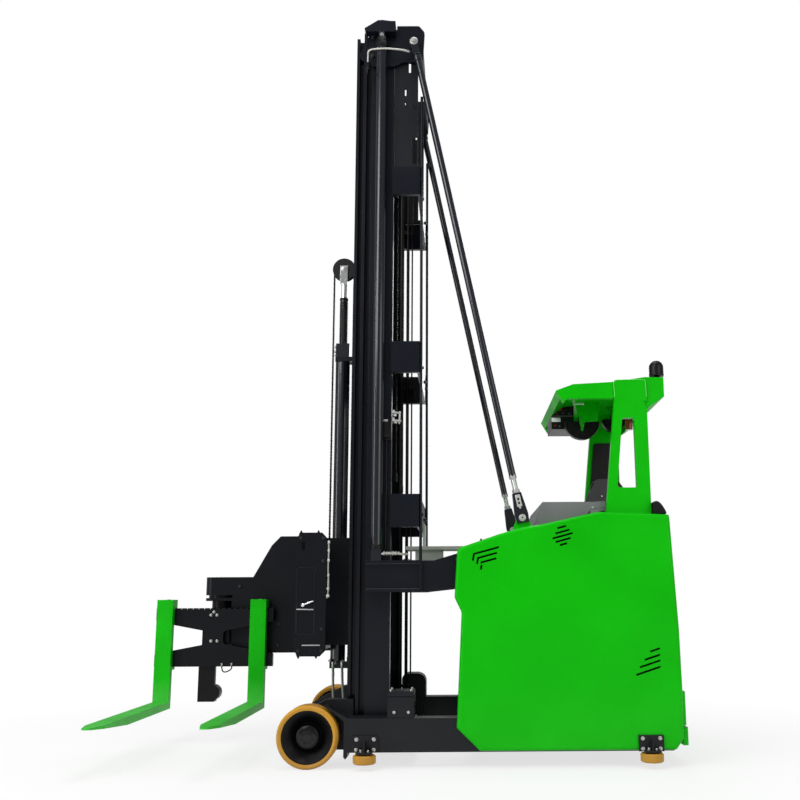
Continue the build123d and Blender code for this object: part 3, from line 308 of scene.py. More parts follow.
def addSpun(bm, middle, axis, profile, steps=36):
    # Turned shape: profile of (radius, distance along the axis)
    part = bmesh.new()
    verts = [part.verts.new((r / 1000, 0, h / 1000)) for r, h in profile]
    edges = [part.edges.new(pair) for pair in zip(verts, verts[1:])]
    bmesh.ops.spin(part, geom=verts + edges, cent=(0, 0, 0), axis=(0, 0, 1), angle=math.tau, steps=steps,
                   use_merge=True)
    bmesh.ops.remove_doubles(part, verts=part.verts, dist=1e-6)
    bmesh.ops.recalc_face_normals(part, faces=part.faces)
    bmesh.ops.transform(part, matrix=along(at(*middle), axis), verts=part.verts)
    join(bm, part)


def addPlate(bm, outline, y0, y1, edge=1.5):
    # Flat plate from an outline in side view (x, z)
    part = bmesh.new()
    face = part.faces.new([part.verts.new(at(x, y0, z)) for x, z in outline])
    moved = bmesh.ops.extrude_face_region(part, geom=[face])["geom"]
    bmesh.ops.translate(part, vec=(0, (y1 - y0) / 1000, 0),
                        verts=[v for v in moved if isinstance(v, bmesh.types.BMVert)])
    bmesh.ops.recalc_face_normals(part, faces=part.faces)
    soften(part, part.verts, edge, 0.3)
    join(bm, part)


def addPipe(bm, points, radius, rough=3):
    # Pipe or hose bent along a smooth line
    curve = bpy.data.curves.new("pipe", "CURVE")
    curve.dimensions = "3D"
    spline = curve.splines.new("NURBS")
    spline.points.add(len(points) - 1)
    for point, place in zip(spline.points, points):
        point.co = (*at(*place), 1)
    spline.order_u = 3
    spline.use_endpoint_u = True
    spline.resolution_u = 8
    curve.bevel_depth = radius / 1000
    curve.bevel_resolution = rough
    curve.use_fill_caps = True
    line = bpy.data.objects.new("pipe", curve)
    mesh = bpy.data.meshes.new_from_object(line)
    bm.from_mesh(mesh)
    bpy.data.objects.remove(line)
    bpy.data.curves.remove(curve)
    bpy.data.meshes.remove(mesh)


def finishPiece(name, bm, key, body, sharp=32):
    mesh = bpy.data.meshes.new(name)
    bm.to_mesh(mesh)
    bm.free()
    mesh.materials.append(finish[key])
    mesh.shade_smooth()
    mesh.set_sharp_from_angle(angle=math.radians(sharp))
    piece = bpy.data.objects.new(name, mesh)
    scene.collection.objects.link(piece)
    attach(piece, body)
    return piece


def finishAll(body, *rows):
    for name, bm, key, slotName in rows:
        finishPiece(name, bm, key, body)


def newShapes(count):
    return [bmesh.new() for _ in range(count)]


def mirror(place, side):
    return (place[0], side * place[1], place[2])


def addRods(bm, rods, side=1, sides=6):
    # Rods from a table of start, end and radius
    for start, end, radius in rods:
        addRod(bm, mirror(start, side), mirror(end, side), radius, sides)


def ringOf(count, radius, first=0.0):
    # Steps round a circle, as offsets along its two axes
    turns = [math.tau * (i + first) / count for i in range(count)]
    return [(radius * math.cos(a), radius * math.sin(a)) for a in turns]


up = (0, 0, 1)


# Load wheels: turned hub cap and a ring of bolts on each
hubCap = {
    "face": 630, "axle": 171.5, "cap": [(0, 9), (18.9, 9), (27, 8), (30.24, 5), (48.6, 4), (53, 2), (54, 0),
                                        (0, 0)],
    "bolts": 8, "boltCircle": 40, "boltFace": 634, "bolt": 9,
}


def makeHubCaps(s):
    for hand, side in (("left", 1), ("right", -1)):
        bm = bmesh.new()
        addSpun(bm, (0, side * s["face"], s["axle"]), (0, side, 0), s["cap"])
        for dx, dz in ringOf(s["bolts"], s["boltCircle"], 0.5):
            addBolt(bm, (dx, side * s["boltFace"], s["axle"] + dz), (0, side, 0), s["bolt"], washer=False)
        finishPiece("hub_cap_" + hand, bm, "blackGloss", "load_wheel_" + hand)


makeHubCaps(hubCap)
print("hub caps made")


# Guide rollers: bracket bolts, and the nut and cap on each roller's pin
guideBolts = {
    "x": (-322, -1906), "face": (632, 662), "across": (-48, 48), "z": (103, 158), "bolt": 17, "shelf": 99,
    "nut": (18, 678, 15), "cap": (-20, 682, 13),
}


def makeGuideBolts(s):
    bolts, caps = newShapes(2)
    for x, face in zip(s["x"], s["face"]):
        for side in (1, -1):
            for dx in s["across"]:
                for z in s["z"]:
                    addBolt(bolts, (x + dx, side * face, z), (0, side, 0), s["bolt"])
            for shape, (dx, y, across) in ((bolts, s["nut"]), (caps, s["cap"])):
                addBolt(shape, (x + dx, side * y, s["shelf"]), up, across)
    finishAll("chassis", ("guide_bracket_bolts", bolts, "zinc", "bare_steel"),
              ("guide_bracket_nuts", caps, "steel", "bare_steel"))


makeGuideBolts(guideBolts)
print("guide bracket bolts made")


# Painted shade: near-black blocks behind the slots of the side covers, for their dark inside
vents = {
    "width": 11, "depth": (621, 634), "over": 3,
    "slots": [(-1003, 1194, 152, 15), (-1008, 1166, 117, 15), (-1016, 1138, 93, 15), (-929, 1155, 38, 80),
              (-953, 1135, 34, 80), (-974, 1100, 28, 80), (-1439, 1326, 52, 15), (-1443, 1300, 86, 15),
              (-1443, 1276, 120, 15), (-1446, 1252, 90, 15), (-1447, 1228, 43, 15), (-1949, 633, 58, 18),
              (-1932, 593, 92, 18), (-1918, 557, 122, 18), (-1907, 519, 145, 18)],
}


def makeVents(s):
    for hand, side in (("left", 1), ("right", -1)):
        bm = bmesh.new()
        for x, z, length, tilt in s["slots"]:
            half, tall = length / 2 + s["over"], s["width"] / 2 + s["over"]
            y0, y1 = (side * v for v in s["depth"])
            # Painted shade: a near-black block behind each slot
            addBlock(bm, (x - half, y0, z - tall), (x + half, y1, z + tall), 0, ("Y", tilt))
        finishPiece("vent_shade_" + hand, bm, "ventShade", "chassis")


makeVents(vents)
print("vent gauze made")


# Stays: pins, washers, screwed ends and the slotted plates on the clevises
stayParts = {
    "top": (-569, 4479), "foot": (-1220, 1390), "y": 517,
    # Clevis pin's washer, end and centre, as distances out from the cheek's face and a radius
    "cheek": 31, "washer": (0, 3, 21), "pin": (3, 9, 13), "centre": (9, 9.6, 5),
    # Slotted plate on the outer cheek, with distances up the stay; its holes are painted shade, thin black
    # discs on the plate's face
    "plateY": 30, "plateAt": 102, "plateHalf": (15, 36), "plateThick": 5, "holes": (88, 112), "hole": 7,
    "boltAt": 60, "bolt": 12,
    # Screwed rod between the clevis and the tube, with its lock nuts
    "screw": (148, 258, 15.5), "thread": (160, 250, 6), "ridge": [(15, -2.6), (17.5, 0), (15, 2.6)],
    "nuts": (150, 238), "nut": 40,
    # Washer and nut of the top pin, and the collars at the tube's end
    "topAt": 3157, "topFace": 12.5, "topWasher": (4, 26), "topNut": 26, "collars": [(3060, 27.5), (3034, 24)],
}


def makeStayParts(s):
    (xt, zt), (xf, zf) = s["top"], s["foot"]
    rise = Vector((xt - xf, 0, zt - zf)).normalized()
    lean = math.degrees(math.atan2(rise.x, rise.z))

    def on(distance, y):
        return tuple(Vector((xf, y, zf)) + rise * distance)

    bright, screws, dark = newShapes(3)
    for side in (1, -1):
        y = side * s["y"]
        for way in (-1, 1):
            face = y + way * s["cheek"]
            for shape, part, sides, edge in ((bright, "washer", 32, 0.8), (bright, "pin", 24, 1.5),
                                             (dark, "centre", 12, 0)):
                y0, y1, radius = s[part]
                addRod(shape, on(0, face + way * y0), on(0, face + way * y1), radius, sides, edge=edge)
        plateY, (wide, tall) = y + side * s["plateY"], s["plateHalf"]
        outer, (x, _, z) = plateY + side * s["plateThick"], on(s["plateAt"], plateY)
        addBlock(bright, (x - wide, plateY, z - tall), (x + wide, outer, z + tall), 2, ("Y", lean))
        # Painted shade: each hole is a thin black disc on the plate's face
        for d in s["holes"]:
            addRod(dark, on(d, outer), on(d, outer + side * 0.6), s["hole"], 20, edge=0)
        addBolt(bright, on(s["boltAt"], plateY), (0, side, 0), s["bolt"], washer=False)
        start, end, radius = s["screw"]
        addRod(screws, on(start, y), on(end, y), radius, 24)
        for d in range(*s["thread"]):
            addSpun(screws, on(d, y), rise, s["ridge"], 24)
        for d in s["nuts"]:
            addBolt(bright, on(d, y), rise, s["nut"], washer=False)
        face, (thick, radius) = y + side * s["topFace"], s["topWasher"]
        addRod(bright, on(s["topAt"], face), on(s["topAt"], face + side * thick), radius, 32)
        addBolt(bright, on(s["topAt"], face + side * thick), (0, side, 0), s["topNut"], washer=False)
        for d, r in s["collars"]:
            addSpun(dark, on(d, y), rise, [(21, -5), (r, -4), (r + 0.6, 0), (r, 4), (21, 5)], 32)
    finishAll("chassis", ("stay_pins_and_plates", bright, "zinc", "bare_steel"),
              ("stay_screws", screws, "steel", "bare_steel"),
              ("stay_collars_and_hole_shade", dark, "black", "black_paint"))


makeStayParts(stayParts)
print("stay fittings made")


# Mast: bolts of the head plates, cross members and side supports, and painted highlights as lighter lines
# along the supports' flanges
mastBolts = {
    "head": [(-300, 4540), (-300, 4400), (-590, 4390)], "headY": 480, "headBolt": 22,
    "support": [(-835, 1030), (-835, 1150)], "supportY": 501, "supportBolt": 15,
    "crossX": -610, "crossY": (-400, -200, 200, 400), "crossZ": (1442.5, 2385, 3538), "crossBolt": 19,
    # Painted highlight: lighter lines along the supports' flange edges
    "flangeLightX": (-616, -500, -400, -300), "flangeLightY": 502, "flangeLightZ": (982, 1128), "flangeLightRadius": 2.6,
}


def makeMastBolts(s):
    bolts, flangeHighlights = newShapes(2)
    for side in (1, -1):
        for part in ("head", "support"):
            for x, z in s[part]:
                addBolt(bolts, (x, side * s[part + "Y"], z), (0, side, 0), s[part + "Bolt"])
        # Painted highlight: lighter lines along the top and bottom flange edges
        for z in s["flangeLightZ"]:
            addPipe(flangeHighlights, [(x, side * s["flangeLightY"], z) for x in s["flangeLightX"]], s["flangeLightRadius"], 2)
    for z in s["crossZ"]:
        for y in s["crossY"]:
            addBolt(bolts, (s["crossX"], y, z), (-1, 0, 0), s["crossBolt"])
    finishAll("chassis", ("mast_bolts", bolts, "mastSteel", "charcoal_paint"),
              ("support_flange_highlights", flangeHighlights, "flangeHighlight", "charcoal_paint"))


makeMastBolts(mastBolts)
print("mast bolts made")


# Bent steel lift pipes on the mast, with their unions and valves
liftPipes = {
    "x": -362, "y": 517, "pipe": 6,
    "strap": [(-275, 545, 4310), (-275, 545, 4376), (-279, 548, 4399), (-302, 554, 4405), (-410, 556, 4411),
              (-514, 534, 4409)],
    "clamps": [((-275, 545, 4268), (-275, 545, 4318), 8), ((-275, 500, 4270), (-275, 556, 4270), 10)],
    "strapUnion": [((-500, 538, 4409), (-540, 526, 4405), 8)],
    # Gland nut and head of the lift cylinder, with the nut's spanner holes
    "headZ": 4440, "head": [(33.7, 0), (37.5, 1), (38, 30), (36.5, 34), (36.5, 60), (34, 65), (23, 66),
                            (23, 0)],
    "holes": 6, "holeZ": 4484, "holeFrom": 37, "holeTo": 39.5, "hole": 4,
    # Barrel foot with its elbow and a row of unions
    "footZ": 1211, "foot": [(34, 0), (37, 1), (37, 24), (34, 28)], "elbowPipe": 7,
    "elbow": [(-392, 530, 1184), (-420, 545, 1186), (-470, 545, 1186), (-520, 530, 1182), (-545, 500, 1180)],
    "unions": 6, "unionX": -404, "unionStep": 17, "unionLong": 10, "unionY": 544, "unionZ": 1186,
    "unionR": 13,
    "unionLess": 1.2,
    # Valve on the near outer rail, with its line and the union stack behind it
    "valve": ((-443, 474, 1880), (-380, 506, 1976)), "valveFoot": ((-435, 474, 1866), (-388, 496, 1880)),
    "valveJoints": [((-421, 494, 1984), (-381, 494, 1984), 8, 12),
                    ((-411.5, 489, 1974), (-411.5, 489, 1988), 9, 6)],
    "valveLine": ((-411.5, 484, 1210), (-411.5, 484, 1880)),
    "stack": [(0, 2046, 10, 16), (-6, 2022, 13, 14), (2, 2000, 10, 14), (-10, 1978, 12, 12)],
    "stackX": -452, "stackY": 468,
    "stackRods": [((-440, 474, 2040), (-490, 474, 2034), 7), ((-446, 474, 1990), (-498, 474, 1984), 8)],
    "stackPipe": ((-486, 470, 1968), (-492, 470, 2046)),
}


def makeLiftPipes(s):
    pale, dark, joint = newShapes(3)
    for side in (1, -1):
        x, y = s["x"], side * s["y"]
        addPipe(pale, [mirror(place, side) for place in s["strap"]], s["pipe"])
        addRods(dark, s["clamps"], side)
        addRods(joint, s["strapUnion"], side)
        addSpun(dark, (x, y, s["headZ"]), up, s["head"], 40)
        for near, far in zip(ringOf(s["holes"], s["holeFrom"]), ringOf(s["holes"], s["holeTo"])):
            addRod(dark, (x + near[0], y + near[1], s["holeZ"]), (x + far[0], y + far[1], s["holeZ"]),
                   s["hole"], 10,
                   edge=0)
        addSpun(dark, (x, y, s["footZ"]), up, s["foot"], 40)
        addPipe(pale, [mirror(place, side) for place in s["elbow"]], s["elbowPipe"])
        for k in range(s["unions"]):
            ux, uy, uz = s["unionX"] - s["unionStep"] * k, side * s["unionY"], s["unionZ"]
            addRod(joint, (ux, uy, uz), (ux - s["unionLong"], uy, uz), s["unionR"] - s["unionLess"] * (k % 3),
                   6)
    addBlock(dark, *s["valve"], 4)
    addBlock(dark, *s["valveFoot"], 3)
    for start, end, radius, sides in s["valveJoints"]:
        addRod(joint, start, end, radius, sides)
    addRod(dark, *s["valveLine"], 7, 14)
    for dx, z, radius, tall in s["stack"]:
        place = (s["stackX"] + dx, s["stackY"])
        addRod(joint, (*place, z - tall / 2), (*place, z + tall / 2), radius, 6)
    addRods(joint, s["stackRods"])
    addRod(joint, *s["stackPipe"], 6, 12)
    finishAll("chassis", ("lift_pipes", pale, "pipeSteel", "bare_steel"),
              ("cylinder_heads_and_valves", dark, "black", "black_paint"),
              ("pipe_unions", joint, "zinc", "bare_steel"))


makeLiftPipes(liftPipes)
print("lift pipes made")


# Leaf chains of the stages and of the free lift
leafChain = {"pitch": 19.05, "plate": 7.6, "oval": (0.78, 1, 1.72), "thick": 2.1, "rows": 7, "pin": 3.6}


def addLink(bm, place, s, width, odd, lean=0):
    # One pitch: oval plates side by side, and the pin through their lower eye
    x, y, z = place
    flat, turn = Matrix.Rotation(math.pi / 2, 4, "X"), Matrix.Rotation(lean, 3, "Y")
    for k in range(0 if odd else 1, s["rows"], 2):
        across = -width / 2 + (k + 0.5) * width / s["rows"]
        verts = addCone(bm, 8, s["plate"], s["plate"], s["thick"], flat)
        bmesh.ops.scale(bm, vec=s["oval"], verts=verts)
        bmesh.ops.rotate(bm, cent=(0, 0, 0), matrix=turn, verts=verts)
        bmesh.ops.translate(bm, vec=at(x, y + across, z), verts=verts)
    half = width / 2 + 1
    px, pz = x - math.sin(lean) * s["pitch"] / 2, z - math.cos(lean) * s["pitch"] / 2
    addRod(bm, (px, y - half, pz), (px, y + half, pz), s["pin"], 8, edge=0)


def addStrand(bm, x, y, z0, z1, s, width):
    count = max(int((z1 - z0) / s["pitch"]), 1)
    for i in range(count):
        addLink(bm, (x, y, z1 - s["pitch"] * (i + 0.5)), s, width, i % 2)


freeLift = {
    "x": -78, "radius": 66, "sheave": 3117, "front": 1303, "rear": 536, "width": 22, "links": 11,
    "squashed": 0.2,
    # The slimmer strands on the carriage and the ram, which pass beside the full ones
    "slim": 0.9, "slimWidth": 19, "anchor": (-20, 175), "upper": (-1550, 0), "lowerTop": -102,
    # Blocks that hold the strands' lower ends, from each end's place
    "frontEnd": ((-11, -15, -34), (6, 15, 6)), "rearEnd": ((-7, -15, -2), (7, 15, 30)),
}


def makeFreeLiftChain(s, chain):
    front, tail, lower, upper, wrap = newShapes(5)
    zs, radius, width = s["sheave"], s["radius"], s["width"]
    xf, xr = s["x"] + radius, s["x"] - radius
    slim = dict(chain, plate=chain["plate"] * s["slim"], pin=chain["pin"] * s["slim"])
    addStrand(front, xf, 0, s["front"], zs, chain, width)
    addStrand(tail, xf, 0, *[s["front"] + dz for dz in s["anchor"]], slim, s["slimWidth"])
    addStrand(lower, xr, 0, s["rear"], zs + s["lowerTop"], chain, width)
    addStrand(upper, xr, 0, *[zs + dz for dz in s["upper"]], slim, s["slimWidth"])
    for bm, x, z, ends in ((tail, xf, s["front"], s["frontEnd"]), (lower, xr, s["rear"], s["rearEnd"])):
        addBlock(bm, *[(x + dx, y, z + dz) for dx, y, dz in ends], 2)
    for i in range(s["links"]):
        a = math.pi * (i + 0.5) / s["links"]
        addLink(wrap, (s["x"] + radius * math.cos(a), 0, zs + radius * math.sin(a)), chain, width, i % 2, -a)
    for name, bm, body, old in (("chain_front_strand", front, "lift_ram", "chain_front"),
                                ("chain_front_anchor", tail, "carriage", None),
                                ("chain_rear_lower", lower, "inner_stage", "chain_rear"),
                                ("chain_rear_upper", upper, "lift_ram", None),
                                ("chain_over_sheave", wrap, "lift_ram", "chain_wrap")):
        piece = finishPiece(name, bm, "chain", body)
        if old:
            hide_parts(old)
        if old == "chain_front":
            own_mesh(piece)


makeFreeLiftChain(freeLift, leafChain)
print("free-lift chain made")

stageChains = {"x": -456, "y": (300, -300), "z": (1660, 4200), "width": 20, "end": (9, 14, 25)}


def makeStageChains(s, chain):
    bm = bmesh.new()
    x, (dx, dy, dz) = s["x"], s["end"]
    for y in s["y"]:
        addStrand(bm, x, y, *s["z"], chain, s["width"])
        for z in s["z"]:
            addBlock(bm, (x - dx, y - dy, z - dz), (x + dx, y + dy, z + dz), 3)
    finishPiece("stage_chains", bm, "chain", "chassis")


makeStageChains(stageChains, leafChain)
print("stage chains made")


# Free-lift cylinder: gland, port block, sheave hub and yoke pin
freeLiftParts = {
    "x": -78, "top": 2898, "gland": [(25, 0), (28, 2), (28, 16), (25, 20), (18.4, 20)],
    "collarZ": 2475, "collar": [(46, 0), (49, 2), (49, 22), (46, 26)],
    "coil": (2610, 2890), "coilStep": 11, "coilRing": [(25, -4), (28.5, 0), (25, 4)],
    # Sheave's washer, pin, hub and yoke screws
    "sheave": 3117, "washer": (34, 37, 20), "pin": (37, 43, 12), "hubY": 20,
    "hub": [(13, 0), (13, 3), (30, 3), (32, 1), (32, 0)], "screwX": 16, "screwY": 32, "screwDrop": 80,
    "screw": 9,
    # Screws and union of the port block
    "blockFace": 44, "blockScrewZ": (2521, 2577), "blockScrewY": 18, "blockScrew": 12,
    "blockUnion": [((-34, 0, 2549), (-20, 0, 2549), 10)],
    # Barrel foot: ports with hose ends that run down beside the shelf
    "foot": ((-120, -34, 528), (-36, 34, 570)),
    "ports": [((-114, 34, 542), (-114, 60, 542), 9), ((-70, 34, 532), (-70, 60, 532), 9),
              ((-36, 34, 546), (-36, 60, 546), 9)],
    "hoses": [(-114, -128, 58), (-58, -67, 62)], "hoseZ": (540, 532, 506, 446, 366, 274), "hose": 8,
    "union": 10,
    "rings": 5, "ringZ": 476, "ringStep": 5, "ring": (9, 3),
    # Painted jacket round the lower barrel
    "jacketZ": 540, "jacket": [(36, 0), (45, 0), (46.5, 2), (46.5, 1960), (45, 1962), (36, 1962)],
}


def makeFreeLiftParts(s):
    x, zs = s["x"], s["sheave"]
    dark, bright, joint, hoses, jacket = newShapes(5)
    addSpun(dark, (x, 0, s["top"]), up, s["gland"], 36)
    addSpun(dark, (x, 0, s["collarZ"]), up, s["collar"], 36)
    z = s["coil"][0]
    while z < s["coil"][1]:  # protective spiral round the upper barrel
        addSpun(dark, (x, 0, z), up, s["coilRing"], 28)
        z += s["coilStep"]
    for side in (1, -1):
        for (y0, y1, radius), sides in ((s["washer"], 28), (s["pin"], 6)):
            addRod(bright, (x, side * y0, zs), (x, side * y1, zs), radius, sides)
        for dx in (-s["screwX"], s["screwX"]):
            addBolt(bright, (x + dx, side * s["screwY"], zs - s["screwDrop"]), (0, side, 0), s["screw"])
        addSpun(dark, (x, side * s["hubY"], zs), (0, side, 0), s["hub"], 32)
        for z in s["blockScrewZ"]:
            addBolt(joint, (x + s["blockFace"], side * s["blockScrewY"], z), (1, 0, 0), s["blockScrew"])
    addBlock(dark, *s["foot"], 4)
    addRods(joint, s["blockUnion"] + s["ports"])
    unionTop, start, unionLow, bend, turn, end = s["hoseZ"]
    for x0, x1, y in s["hoses"]:
        addRod(joint, (x0, y, unionLow), (x0, y, unionTop), s["union"], 6)
        addPipe(hoses, [(x0, y, start), (x0 - 2, y, bend), (x1 + 6, y, turn), (x1, y, end)], s["hose"])
        for k in range(s["rings"]):
            z = s["ringZ"] - k * s["ringStep"]
            addRod(joint, (x0 - 2, y, z), (x0 - 2, y, z - s["ring"][1]), s["ring"][0], 12, edge=0)
    addSpun(jacket, (x, 0, s["jacketZ"]), up, s["jacket"], 48)
    finishAll("inner_stage", ("freelift_jacket", jacket, "cylinderPaint", "charcoal_paint"),
              ("freelift_sleeves", dark, "black", "charcoal_paint"),
              ("freelift_unions", joint, "zinc", "bare_steel"),
              ("freelift_hoses", hoses, "braid", "bare_steel"))
    finishPiece("sheave_pins", bright, "zinc", "lift_ram")


makeFreeLiftParts(freeLiftParts)
print("free-lift fittings made")


# Carriage: rack teeth, end-plate fittings and hoses
carriageParts = {
    "half": 640, "rackX": (28, 54), "rackZ": (1179, 1189), "tooth": 4.6, "rack": 21, "rackEnd": 30,
    "endY": 645,
    "bolts": [(-70, 1270), (-70, 640), (60, 1270), (60, 640), (-70, 1140), (-70, 760)], "bolt": 15,
    # Painted shade: a black oblong for the dark inside of the recess in each end plate
    "oblong": [(36, 1207), (40, 1203), (49, 1203), (53, 1207), (53, 1245), (49, 1249), (40, 1249),
               (36, 1245)],
    # Raised frame round the plate's shallow recess, as x and z ranges
    "recessProud": 0.8, "frameProud": 2.5,
    "frame": [((-25, 78), (727, 735)), ((-25, 78), (1099, 1107)), ((-31, -23), (727, 1107)),
              ((70, 78), (727, 1107))],
    # Locking lever on the near end plate, and the catch under it
    "lever": ((39, 652, 894), (-22, 656, 917)), "knob": (39, 646, 893),
    "knobShape": [(0, 11), (9, 10), (11, 6), (11, 0)],
    "link": ((74, 650, 870), (-22, 652, 868)), "catch": ((-63, 645, 667), (40, 651, 674)),
    # Hose along the rear edge of the end plates, with its unions
    "hoseY": 636, "hose": [(-97, 1254), (-101, 1200), (-96, 1100), (-104, 1000), (-97, 937)], "hoseRadius": 5,
    "unionX": -99, "unionHalf": 8, "unions": [(1248, 9), (1200, 8), (1143, 9), (1060, 8), (984, 9), (944, 11)],
    "elbow": [((-99, 636, 940), (-75, 636, 930), 8)], "tube": [((-97, 636, 1240), (-97, 636, 960), 3)],
    # Guide rollers' eccentric pins on the carriage sides
    "pinZ": (709, 1193), "pins": [((-257, 190, 0), 24), ((-215, 195, 60), 14)],
}


def makeCarriageParts(s):
    teeth, bolts, pale, joint, dark, frameBars, dull = newShapes(7)
    y = -s["half"] + s["rackEnd"]
    while y < s["half"] - s["rackEnd"]:
        addBlock(teeth, (s["rackX"][0], y - s["tooth"], s["rackZ"][0]),
                 (s["rackX"][1], y + s["tooth"], s["rackZ"][1]), 1.2)
        y += s["rack"]
    for side in (1, -1):
        face, y = side * s["endY"], side * s["hoseY"]
        for x, z in s["bolts"]:
            addBolt(bolts, (x, face, z), (0, side, 0), s["bolt"])
        # Painted shade: black oblong in the end plate's recess
        addPlate(dark, s["oblong"], face - side, face + side * s["recessProud"], 0)
        for (x0, x1), (z0, z1) in s["frame"]:
            addBlock(frameBars, (x0, face - side, z0), (x1, face + side * s["frameProud"], z1), 1)
        addPipe(joint, [(x, y, z) for x, z in s["hose"]], s["hoseRadius"])
        for z, radius in s["unions"]:
            ends = [(s["unionX"], y, z + dz) for dz in (-s["unionHalf"], s["unionHalf"])]
            addRod(joint, *ends, radius, 6)
        addRods(joint, s["elbow"], side)
        addRods(pale, s["tube"], side, 10)
        for z in s["pinZ"]:
            for (x, pinY, dz), across in s["pins"]:
                addBolt(bolts, (x, side * pinY, z + dz), (0, -side, 0), across)
    addRod(pale, *s["lever"], 6, 16, tip=4.5)
    addSpun(pale, s["knob"], (0, 1, 0), s["knobShape"], 24)
    addRod(dull, *s["link"], 3.5, 12)
    addBlock(dull, *s["catch"], 2)
    finishAll("carriage", ("traverse_rack", teeth, "steel", "bare_steel"),
              ("carriage_bolts", bolts, "mastSteel", "charcoal_paint"),
              ("carriage_lever", pale, "chrome", "chromed_steel"),
              ("carriage_catch", dull, "greyZinc", "bare_steel"),
              ("end_plate_frames", frameBars, "mast", "charcoal_paint"),
              ("carriage_hose_unions", joint, "zinc", "bare_steel"),
              ("carriage_recess_shade", dark, "deepBlack", "black_paint"))


makeCarriageParts(carriageParts)
print("carriage fittings made")


# Turret head: bolted cheeks, slewing bearing, drive motor and lines
headParts = {
    "x": 785, "y": -490, "cheek": (-375, -605), "bolt": 17,
    "bolts": [(110, 1300), (110, 620), (372, 760), (372, 620), (640, 1010)],
    # Flush screws and cap on top of the arm, and the slewing ring under it
    "arm": 1074, "screws": 12, "screwCircle": 66, "screw": 6, "screwHigh": 1.5,
    "cap": [(0, 2), (38, 2), (41, 1), (42, 0)], "ringZ": 917,
    "ring": [(84, -2), (89, -1), (89, 16), (84, 18)],
    # Slewing motor in the front bay, with its two steel lines
    "motorX": 500, "motor": (800, 940, 44), "shaft": (740, 800, 30), "gear": (48, 940, 1012), "flange": 34,
    "flangeBolt": 13,
    "lineY": 20, "lineX": (452, 436), "lineZ": 900, "linePipe": 6, "lineUnion": 9,
    "line": [(440, 900), (420, 880), (414, 760), (410, 640)],
}


def makeHeadParts(s):
    bolts, ring, motor, joint = newShapes(4)
    near, far = s["cheek"]
    for x, z in s["bolts"]:
        addBolt(bolts, (x, near, z), (0, 1, 0), s["bolt"])
        addBolt(bolts, (x, far, z), (0, -1, 0), s["bolt"])
    for dx, dy in ringOf(s["screws"], s["screwCircle"]):
        place = (s["x"] + dx, s["y"] + dy)
        addRod(bolts, (*place, s["arm"]), (*place, s["arm"] + s["screwHigh"]), s["screw"], 16, edge=0.6)
    addSpun(ring, (s["x"], s["y"], s["arm"]), up, s["cap"], 40)
    addSpun(ring, (s["x"], s["y"], s["ringZ"]), up, s["ring"], 48)
    x, y = s["motorX"], s["y"]
    for (z0, z1, radius), sides in ((s["motor"], 32), (s["shaft"], 28)):
        addRod(motor, (x, y, z0), (x, y, z1), radius, sides, edge=3)
    half, z0, z1 = s["gear"]
    addBlock(motor, (x - half, y - half, z0), (x + half, y + half, z1), 4)
    for dx in (-s["flange"], s["flange"]):
        for dy in (-s["flange"], s["flange"]):
            addBolt(joint, (x + dx, y + dy, z0), (0, 0, -1), s["flangeBolt"])
    for y in (s["y"] - s["lineY"], s["y"] + s["lineY"]):
        addRod(joint, (s["lineX"][0], y, s["lineZ"]), (s["lineX"][1], y, s["lineZ"]), s["lineUnion"], 6)
        addPipe(joint, [(px, y, pz) for px, pz in s["line"]], s["linePipe"])
    finishAll("turret_head", ("head_bolts", bolts, "mastSteel", "charcoal_paint"),
              ("slewing_ring", ring, "head", "charcoal_paint"),
              ("slewing_motor", motor, "black", "black_paint"),
              ("slewing_lines", joint, "braid", "bare_steel"))


makeHeadParts(headParts)
print("turret head fittings made")


# Fork plate: bolts, fork locks, line and sensor ring
forkParts = {
    "plateY": -310, "bolts": [(811, 823), (771, 823), (792, 843), (804, 654), (764, 654)], "bolt": 15,
    # Flush lock pin on each fork's top hook, stop screw at the lower one
    "forks": (1106, 489), "lockY": -338, "topZ": 925, "lock": 13, "stopY": -345, "stopZ": 469, "stop": 19,
    "line": [(661, -302, 499), (655, -298, 482), (668, -296, 466), (700, -296, 452), (722, -298, 462),
             (725, -302, 494)],
    "unions": [((661, -304, 494), (661, -304, 512), 7), ((725, -304, 494), (725, -304, 512), 7)],
    "sensor": (795, -420, 318), "lens": [(0, 3), (20, 3), (23, 1), (30, 1), (33, 4), (36, 3), (37, 0)],
}


def makeForkParts(s):
    bolts, locks, hose, eye = newShapes(4)
    for x, z in s["bolts"]:
        addBolt(bolts, (x, s["plateY"], z), (0, 1, 0), s["bolt"])
    for x in s["forks"]:
        addRod(locks, (x, s["lockY"], s["topZ"]), (x, s["lockY"], s["topZ"] + 3), s["lock"], 20, edge=1)
        addBolt(locks, (x, s["stopY"], s["stopZ"]), (0, 0, -1), s["stop"])
    addPipe(hose, s["line"], 4)
    addRods(bolts, s["unions"])
    addSpun(eye, s["sensor"], (0, -1, 0), s["lens"], 36)
    finishAll("fork_unit", ("fork_plate_bolts", bolts, "zinc", "bare_steel"),
              ("fork_locks", locks, "steel", "bare_steel"),
              ("fork_plate_line", hose, "rubber", "black_paint"),
              ("sensor_ring", eye, "black", "black_paint"))


makeForkParts(forkParts)
print("fork plate fittings made")


